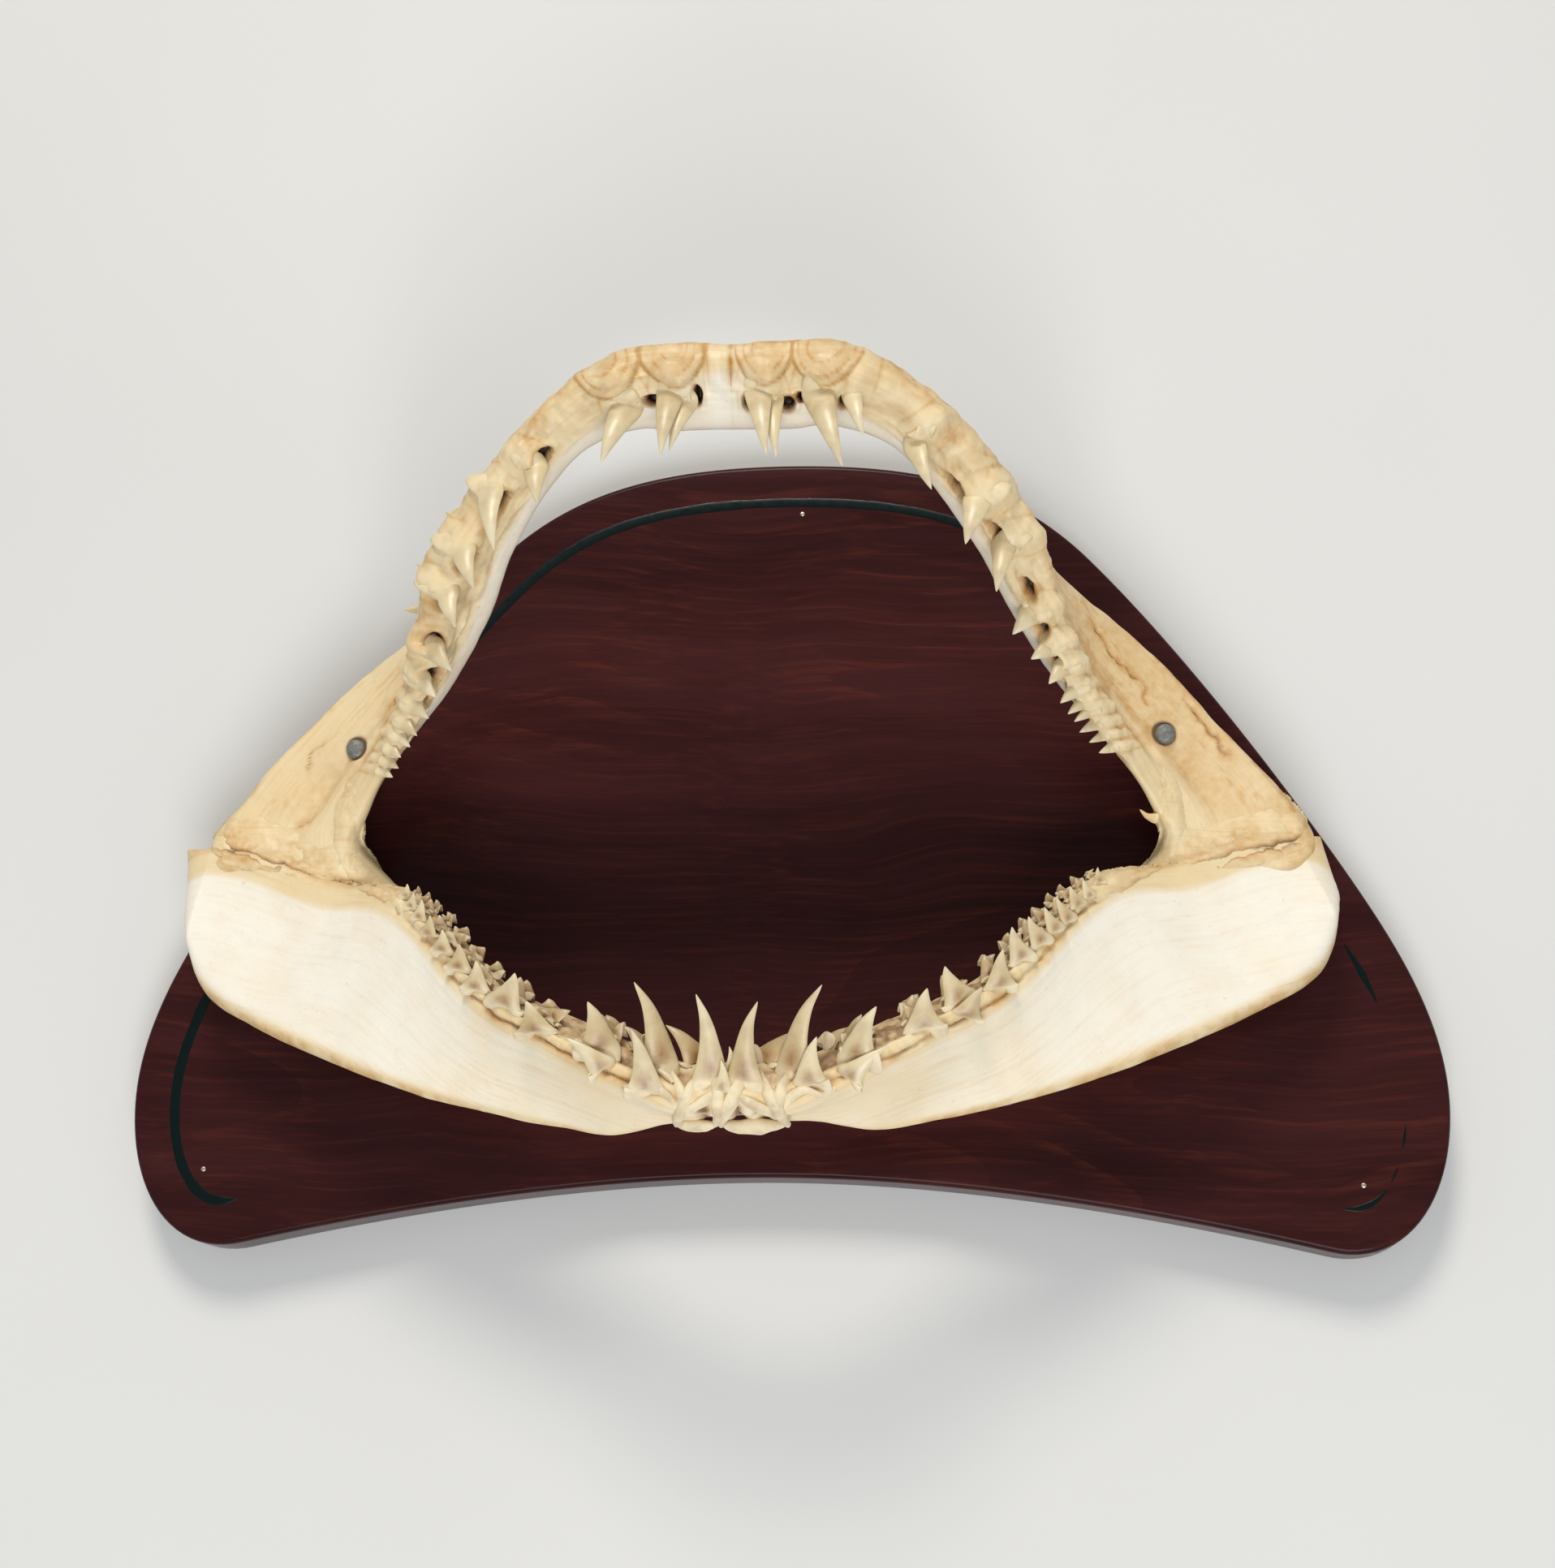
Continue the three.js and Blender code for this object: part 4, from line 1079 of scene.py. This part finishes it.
def make_lathe(name, profile, places, material, slot, nodes):
    """Round fixings: a profile of radius and height turned about each place."""
    profile = np.array(profile, float)
    phi = np.linspace(0, 2 * np.pi, LATHE_PLACES, endpoint=False)
    ring = np.stack([np.cos(phi), np.sin(phi)], axis=-1)
    one = np.concatenate([
        profile[:, :1, None] * ring[None],
        np.broadcast_to(profile[:, 1, None, None], (len(profile), len(phi), 1)),
    ], axis=-1)
    grids = np.array([one + [x, y, 0] for x, y in places])
    piece = shells(name, grids)
    return finish(piece, material, slot, *nodes)


# ---- materials ----------------------------------------------------------------------------------

def linear(colour):
    """An sRGB hex value, or three sRGB shares, as linear light with alpha."""
    if isinstance(colour, str):
        colour = [int(colour[k : k + 2], 16) / 255 for k in (1, 3, 5)]
    return [c / 12.92 if c <= 0.04045 else ((c + 0.055) / 1.055) ** 2.4 for c in colour] + [1]


def feed(tree, node, inputs):
    """Gives each socket of a node its link or its value."""
    for key, value in inputs.items():
        if isinstance(value, bpy.types.NodeSocket):
            tree.links.new(value, node.inputs[key])
        else:
            node.inputs[key].default_value = value


def add(tree, kind, inputs=None, **settings):
    """Adds a node: settings are its own properties, and inputs hold a value or a link per socket."""
    made = tree.nodes.new(kind)
    for key, value in settings.items():
        setattr(made, key, value)
    feed(tree, made, inputs or {})
    return made


def blend(tree, share, low, high):
    """Two linear colours mixed by a share."""
    return add(tree, "ShaderNodeMix", {0: share, 6: low, 7: high}, data_type="RGBA").outputs[2]


def coated(tree, base, *coats):
    """A base colour under coats of a share and an sRGB colour, one over the other."""
    for share, colour in coats:
        base = blend(tree, share, base, linear(colour))
    return base


def remap(tree, value, low, high, to_low=0.0, to_high=1.0):
    """Value from low..high to to_low..to_high, held at the ends."""
    return add(tree, "ShaderNodeMapRange", {0: value, 1: low, 2: high, 3: to_low, 4: to_high}).outputs[0]


def times(tree, a, b):
    """Product of two values."""
    return add(tree, "ShaderNodeMath", {0: a, 1: b}, operation="MULTIPLY").outputs[0]


def bump(tree, height, strength, metres_high):
    """Normals of a bumpy surface."""
    inputs = {"Height": height, "Strength": strength, "Distance": metres_high}
    return add(tree, "ShaderNodeBump", inputs).outputs[0]


def new_material(name):
    """A material, its node tree, its shader and the object coordinates."""
    material = bpy.data.materials.new(name)
    material.use_nodes = True
    tree = material.node_tree
    place = add(tree, "ShaderNodeTexCoord").outputs["Object"]
    return material, tree, tree.nodes["Principled BSDF"], place


def noise_texture(tree, vector, scale, detail, roughness=0.5):
    """Outputs of a noise texture on the given coordinates."""
    inputs = {"Vector": vector, "Scale": scale, "Detail": detail, "Roughness": roughness}
    return add(tree, "ShaderNodeTexNoise", inputs).outputs


def grain(tree, vector, millimetres, detail=3.0):
    """Noise whose features are about the given size, on object coordinates in metres."""
    return noise_texture(tree, vector, 1000 / millimetres, detail)["Fac"]


def attribute(tree, name):
    """Value of the mesh's attribute of that name."""
    return add(tree, "ShaderNodeAttribute", attribute_name=name).outputs["Fac"]


def dried_cartilage(colours):
    """Shark cartilage, scraped and air-dried: a prismatic calcified skin, cream, satin, a little
    translucent, with tan dried gum, fine fibres along the ramus, and painted shade in amber and
    near black in the pits, cracks and hollows."""
    material, tree, shader, place = new_material("jaw_cartilage")
    tan, dark, pale, along, across = (
        attribute(tree, name) for name in ("tan", "dark", "pale", "along", "across")
    )
    flow = add(tree, "ShaderNodeCombineXYZ", {0: times(tree, along, 0.035), 1: times(tree, across, 0.55)})
    fibres = noise_texture(tree, flow.outputs[0], 1.0, 4.0)["Fac"]
    blotch = grain(tree, place, 22)
    fine = grain(tree, place, 1.6, detail=4)
    speck = grain(tree, place, 3.2, detail=2)

    bare = remap(tree, pale, 0.2, 1.0, 1.0, 0.42)
    deep = remap(tree, dark, 0.0, 1.0, 0.0, 0.97)
    tone = coated(
        tree, linear(colours.cream),
        (pale, colours.plate),
        (times(tree, remap(tree, blotch, 0.42, 0.68, 0.0, 0.4), bare), colours.warm),
        (times(tree, remap(tree, fibres, 0.5, 0.72, 0.0, 0.28), bare), colours.tan),
        (times(tree, tan, remap(tree, speck, 0.3, 0.65, 0.55, 1.15)), colours.tan),
        (times(tree, remap(tree, fine, 0.66, 0.78), 0.25), colours.amber),
        # painted shade: the dark entry turns amber and, where it is strong, near black
        (times(tree, remap(tree, dark, 0.02, 0.5), 0.7), colours.amber),
        (remap(tree, deep, 0.35, 0.95), colours.pit_shade),
    )
    heights = {0: times(tree, fibres, 0.6), 1: times(tree, fine, 0.5)}
    height = add(tree, "ShaderNodeMath", heights, operation="ADD").outputs[0]
    feed(tree, shader, {
        "Base Color": tone, "Roughness": remap(tree, fibres, 0.3, 0.7, 0.42, 0.6),
        "Normal": bump(tree, height, 0.35, 0.0006), "IOR": 1.5, "Subsurface Weight": 0.15,
        "Subsurface Radius": (1.0, 0.55, 0.25), "Subsurface Scale": 0.003,
    })
    return material


def tooth_enamel(colours):
    """Shark enameloid over dentine: a smooth ivory crown with a soft gloss, whiter towards the tip,
    on a matt porous root with a brown hollow between its lobes."""
    material, tree, shader, place = new_material("tooth_enamel")
    rise = attribute(tree, "rise")
    root = remap(tree, rise, 0.3, 0.5, 1.0, 0.0)
    bed = coated(tree, linear(colours.root), (attribute(tree, "gum"), colours.cream))
    crown = coated(
        tree, linear(colours.ivory),
        (attribute(tree, "shade"), colours.ivory_dark),
        (remap(tree, rise, 0.6, 1.0, 0.0, 0.35), colours.tip),
    )
    mottle = remap(tree, grain(tree, place, 2.5), 0.3, 0.7, 0.6, 1.0)
    tone = coated(
        tree, blend(tree, times(tree, root, 0.85), crown, bed),
        (times(tree, attribute(tree, "hollow"), mottle), colours.hollow),
        (times(tree, remap(tree, grain(tree, place, 6), 0.45, 0.7), 0.25), colours.hollow),
    )
    feed(tree, shader, {
        "Base Color": tone, "Roughness": remap(tree, root, 0.0, 1.0, 0.38, 0.62),
        "Normal": bump(tree, grain(tree, place, 0.9), 0.12, 0.0004), "IOR": 1.6,
        "Subsurface Weight": 0.1, "Subsurface Radius": (1.0, 0.7, 0.4), "Subsurface Scale": 0.0015,
    })
    return material


def stained_plywood(colours):
    """Plywood faced with rotary-cut veneer, stained mahogany and varnished: fine straight grain
    across the board, broad darker bands, a faint flame figure with orange streaks where the stain
    didn't take, and a soft gloss."""
    material, tree, shader, place = new_material("stained_plywood")
    bend = {0: 0.03, 4: place, 5: noise_texture(tree, place, 7.0, 2.0)["Color"]}
    bent = add(tree, "ShaderNodeMix", bend, data_type="VECTOR").outputs[1]

    def stretched(scale, detail):
        way = add(tree, "ShaderNodeMapping", {"Vector": bent, "Scale": scale}).outputs[0]
        return noise_texture(tree, way, 1.0, detail, 0.6)["Fac"]

    bands = stretched((3.0, 45.0, 45.0), 4.0)
    lines = stretched((7.0, 560.0, 560.0), 3.0)
    fibre = stretched((60.0, 1800.0, 1800.0), 2.0)
    figure = times(tree, stretched((3.5, 17.0, 17.0), 0.0), 17.0)
    contour = add(tree, "ShaderNodeMath", {0: figure}, operation="FRACT").outputs[0]
    streak = times(tree, remap(tree, contour, 0.6, 0.97), remap(tree, lines, 0.35, 0.6))
    weak = remap(tree, grain(tree, place, 90, detail=1), 0.46, 0.62)
    tone = coated(
        tree, linear(colours.stain_dark),
        (remap(tree, bands, 0.36, 0.64), colours.stain),
        (times(tree, remap(tree, lines, 0.5, 0.75), 0.12), colours.streak),
        (times(tree, times(tree, streak, weak), 0.13), colours.streak),
        (times(tree, remap(tree, fibre, 0.56, 0.72), 0.4), colours.stain_dark),
    )
    feed(tree, shader, {
        "Base Color": tone, "Roughness": remap(tree, bands, 0.3, 0.7, 0.18, 0.26),
        "Normal": bump(tree, lines, 0.15, 0.0003), "IOR": 1.45, "Specular IOR Level": 0.1,
    })
    return material


def plain_finish(name, colour, metallic, roughness, size, contrast=0.4):
    """A simple finish with blotches of the given size in its colour and roughness."""
    material, tree, shader, place = new_material(name)
    blotch = grain(tree, place, size)
    light = linear(colour)
    dark = [c * (1 - contrast) for c in light[:3]] + [1]
    feed(tree, shader, {
        "Base Color": blend(tree, remap(tree, blotch, 0.35, 0.7), light, dark),
        "Roughness": remap(tree, blotch, 0.3, 0.7, roughness - 0.08, roughness + 0.1),
        "Normal": bump(tree, blotch, 0.15, 0.0002), "Metallic": metallic,
    })
    return material


# ---- stage --------------------------------------------------------------------------------------

def make_floor():
    """A plain pale square of floor."""
    mesh = bpy.data.meshes.new("floor")
    corners = [(x * FLOOR_HALF, y * FLOOR_HALF, 0) for x, y in ((-1, -1), (1, -1), (1, 1), (-1, 1))]
    mesh.from_pydata(corners, [], [(0, 1, 2, 3)])
    floor = bpy.data.objects.new("floor", mesh)
    bpy.context.scene.collection.objects.link(floor)
    mesh.materials.append(plain_finish("pale_floor", "#DAD8D3", 0.0, 0.7, 400, 0.04))


def make_lamp(name, place, size, power, colour):
    """A round area light, in metres, that looks at the middle of the object."""
    light = bpy.data.lights.new(name, "AREA")
    light.shape = "DISK"
    light.size = size
    light.energy = power
    light.color = linear(colour)[:3]
    lamp = bpy.data.objects.new(name, light)
    lamp.location = place
    lamp.rotation_euler = (Vector(LIT_PLACE) - Vector(place)).to_track_quat("-Z", "Y").to_euler()
    bpy.context.scene.collection.objects.link(lamp)


def make_camera():
    """The camera, rolled a little about its own axis."""
    eye, target = (np.array(place) + [0, SHIFT_Y, 0] for place in (CAMERA_PLACE, CAMERA_TARGET))
    back = unit(eye - target)
    right = unit(np.cross([0, 1, 0], back))
    up = np.cross(back, right)
    c, s = math.cos(math.radians(CAMERA_ROLL)), math.sin(math.radians(CAMERA_ROLL))
    axes = np.column_stack([c * right + s * up, c * up - s * right, back])
    lens = bpy.data.cameras.new("camera")
    lens.sensor_fit = "VERTICAL"
    lens.sensor_height = SENSOR_HEIGHT
    lens.lens = SENSOR_HEIGHT * CAMERA_FOCAL_PX / IMAGE_HEIGHT_PX
    lens.clip_start = 0.01
    camera = bpy.data.objects.new("camera", lens)
    camera.matrix_world = Matrix.Translation(Vector(eye * 0.001)) @ Matrix(axes.tolist()).to_4x4()
    bpy.context.scene.collection.objects.link(camera)
    return camera


# ---- settings shown in the sidebar --------------------------------------------------------------

def colour_setting(name, description, value):
    """A colour property with an sRGB hex value as its default."""
    shares = [int(value[k : k + 2], 16) / 255 for k in (1, 3, 5)]
    return FloatVectorProperty(name=name, description=description, default=shares, size=3,
                               subtype="COLOR_GAMMA", min=0, max=1)


def number_setting(name, description, value, least=0.0):
    """A number property with its default and its least value."""
    return FloatProperty(name=name, description=description, default=value, min=least)


class JawColours(bpy.types.PropertyGroup):
    """Colours of the cartilage and the teeth"""

    cream: colour_setting("Cream", "Dried cartilage", "#EBD7AC")
    plate: colour_setting("Plate", "Smooth pale cartilage of the lower jaw", "#F4EDDC")
    warm: colour_setting("Warm", "Blotches in the cartilage", "#E4C48D")
    tan: colour_setting("Tan", "Dried gum and creases", "#CC9F5F")
    # Amber is both the colour of edges and pores and painted shade on the slopes of the pits.
    amber: colour_setting("Amber", "Edges, pores and the slopes of the pits", "#A0703F")
    # Painted shade at the bottom of the pits, cracks and hollows.
    pit_shade: colour_setting("Pit", "Bottom of the pits and cracks", "#2A1408")
    ivory: colour_setting("Ivory", "Crown of a tooth", "#E0CFA6")
    ivory_dark: colour_setting("Dark ivory", "Crown of an older tooth", "#C9B182")
    tip: colour_setting("Tip", "Tip of a tooth", "#EFE6CC")
    root: colour_setting("Root", "Root of a tooth", "#EEDFBC")
    hollow: colour_setting("Hollow", "Hollow of a root", "#96652F")


class PlaqueColours(bpy.types.PropertyGroup):
    """Colours of the board and its border"""

    stain: colour_setting("Stain", "Stained veneer", "#3D1C1C")
    stain_dark: colour_setting("Dark stain", "Denser grain of the veneer", "#2D1313")
    streak: colour_setting("Streak", "Streaks that took less stain", "#7A3B28")
    line: colour_setting("Line", "Painted border", "#051715")


class PlaqueSizes(bpy.types.PropertyGroup):
    """Sizes of the board's edges and its border"""

    edge_radius: number_setting("Edge radius", "Quarter round at the face, mm", 2.0, 0.2)
    back_arris: number_setting("Back arris", "Bevel at the back, mm", 0.8, 0.1)
    line_width: number_setting("Line width", "Width of the border line, mm", 3.6, 0.5)
    line_inset: number_setting("Line inset", "From the edge to the line, mm", 15.0, 2.0)
    line_taper: number_setting("Line taper", "Length of the line's pointed ends, mm", 14.0, 1.0)


class StageSettings(bpy.types.PropertyGroup):
    """Strength of the lights"""

    key: number_setting("Key light", "Power of the large window light, W", 50.0)
    front: number_setting("Front light", "Power of the soft front light, W", 40.0)
    fill: number_setting("Fill", "Brightness of the surrounding light", 0.4)


# ---- operators ----------------------------------------------------------------------------------

class JAWS_OT_plaque(bpy.types.Operator):
    """Make the stained plaque"""

    bl_idname = "jaws.plaque"
    bl_label = "Plaque"

    def execute(self, context):
        make_plaque(context.scene.plaque_sizes, stained_plywood(context.scene.plaque_colours))
        return {"FINISHED"}


class JAWS_OT_line(bpy.types.Operator):
    """Paint the border line on the plaque"""

    bl_idname = "jaws.line"
    bl_label = "Border line"

    def execute(self, context):
        paint = plain_finish("line_paint", context.scene.plaque_colours.line, 0.0, 0.3, 3)
        paint.node_tree.nodes["Principled BSDF"].inputs["Specular IOR Level"].default_value = 0.15
        make_line(context.scene.plaque_sizes, paint)
        return {"FINISHED"}


class JAWS_OT_jaws(bpy.types.Operator):
    """Make the four jaw halves"""

    bl_idname = "jaws.jaws"
    bl_label = "Jaws"

    def execute(self, context):
        material = dried_cartilage(context.scene.jaw_colours)
        for side, word in SIDES:
            upper, lower = upper_of(side), lower_of(side)
            make_jaw_half(f"upper_jaw_{word}", upper, side, upper_relief, UPPER_TEETH[side], material)
            make_jaw_half(f"lower_jaw_{word}", lower, side, lower_relief, LOWER_TEETH[side], material)
        return {"FINISHED"}


class JAWS_OT_ligaments(bpy.types.Operator):
    """Make the ligaments over the joints and the shreds of gum"""

    bl_idname = "jaws.ligaments"
    bl_label = "Ligaments"

    def execute(self, context):
        material = bpy.data.materials["jaw_cartilage"]
        for side, word in SIDES:
            nodes = [f"upper_jaw_{word}", f"lower_jaw_{word}"]
            make_joint_skin(f"joint_skin_{word}", side, nodes, material)
            make_shreds(f"gum_shreds_{word}", mirrored(SHREDS[side], side), nodes[0], material)
        return {"FINISHED"}


class JAWS_OT_teeth(bpy.types.Operator):
    """Make the teeth of all four halves"""

    bl_idname = "jaws.teeth"
    bl_label = "Teeth"

    def execute(self, context):
        material = tooth_enamel(context.scene.jaw_colours)
        for side, word in SIDES:
            upper = jaw_surface(upper_of(side), side)
            lower = jaw_surface(lower_of(side), side)
            upper_node, lower_node = f"upper_jaw_{word}", f"lower_jaw_{word}"
            make_teeth(f"upper_teeth_{word}", UPPER_TEETH[side], upper, UPPER_FORM, upper_node, material)
            make_teeth(f"lower_teeth_{word}", LOWER_TEETH[side], lower, LOWER_FORM, lower_node, material)
            make_teeth(f"white_teeth_{word}", WHITE_TEETH[side], lower, WHITE_FORM, lower_node, material)
            make_lobes(f"root_lobes_{word}", ROOT_LOBES[side], lower_node, material)
            spare = SPARE_TEETH[side] + spare_rows(LOWER_TEETH[side][2:], SPARE_SEED)
            make_teeth(f"spare_teeth_{word}", spare, lower, SPARE_FORM, lower_node, material)
        return {"FINISHED"}


class JAWS_OT_fixings(bpy.types.Operator):
    """Make the screws and the brads"""

    bl_idname = "jaws.fixings"
    bl_label = "Fixings"

    def execute(self, context):
        steel = plain_finish("zinc_screw", "#82827A", 0.35, 0.55, 1.2)
        brass = plain_finish("brad_brass", "#D8CBAE", 0.9, 0.3, 0.8)
        for side, word in SIDES:
            x, y = SCREW_PLACES[word]
            surface = jaw_surface(upper_of(side), side)
            top = surface[0][seat(surface, x - JAW_X, y)][2]
            shape = [(r, z + top + SCREW_PROUD) for r, z in SCREW_PROFILE]
            shape[0] = (shape[0][0], PLAQUE_THICK - 1)
            make_lathe(f"screw_head_{word}", shape, [(x, y)], steel, "zinc_screw", [f"screw_{word}"])
        for word, place in BRAD_PLACES.items():
            make_lathe(f"brad_head_{word}", BRAD_PROFILE, [place], brass, "brad_brass", [f"brad_{word}"])
        return {"FINISHED"}


class JAWS_OT_stage(bpy.types.Operator):
    """Set the floor, the lights and the camera"""

    bl_idname = "jaws.stage"
    bl_label = "Stage"

    def execute(self, context):
        settings = context.scene.stage_settings
        make_floor()
        world = bpy.data.worlds.new("studio")
        context.scene.world = world
        world.use_nodes = True
        background = world.node_tree.nodes["Background"]
        background.inputs["Color"].default_value = linear("#E8EDF2")
        background.inputs["Strength"].default_value = settings.fill
        make_lamp("window_light", (-0.3, 2.2, 2.0), 1.0, settings.key, "#FFFBF4")
        make_lamp("front_light", (0.25, -1.6, 1.9), 1.4, settings.front, "#F6F9FF")
        context.scene.camera = make_camera()
        context.scene.view_settings.view_transform = "Standard"
        return {"FINISHED"}


class JAWS_PT_panel(bpy.types.Panel):
    """Lists the sizes, colours and steps"""

    bl_idname = "JAWS_PT_panel"
    bl_label = "Mounted jaws"
    bl_space_type = "VIEW_3D"
    bl_region_type = "UI"
    bl_category = "Jaws"

    def draw(self, context):
        for group in SETTINGS:
            settings = getattr(context.scene, group)
            for key in settings.__annotations__:
                self.layout.prop(settings, key)
        for step in STEPS:
            self.layout.operator(step.bl_idname)


SETTINGS = {
    "jaw_colours": JawColours,
    "plaque_colours": PlaqueColours,
    "plaque_sizes": PlaqueSizes,
    "stage_settings": StageSettings,
}
STEPS = (JAWS_OT_stage, JAWS_OT_plaque, JAWS_OT_line, JAWS_OT_jaws, JAWS_OT_ligaments, JAWS_OT_teeth,
         JAWS_OT_fixings)


def register():
    """Registers the classes and puts the settings on the scene."""
    for made in (*SETTINGS.values(), *STEPS, JAWS_PT_panel):
        bpy.utils.register_class(made)
    for key, made in SETTINGS.items():
        setattr(bpy.types.Scene, key, PointerProperty(type=made))


def unregister():
    """Takes away what register has made."""
    for key in SETTINGS:
        delattr(bpy.types.Scene, key)
    for made in (JAWS_PT_panel, *reversed(STEPS), *SETTINGS.values()):
        bpy.utils.unregister_class(made)


def main():
    """Registers the add-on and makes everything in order."""
    register()
    for step in STEPS:
        family, name = step.bl_idname.split(".")
        getattr(getattr(bpy.ops, family), name)()


if __name__ == "__main__":
    main()
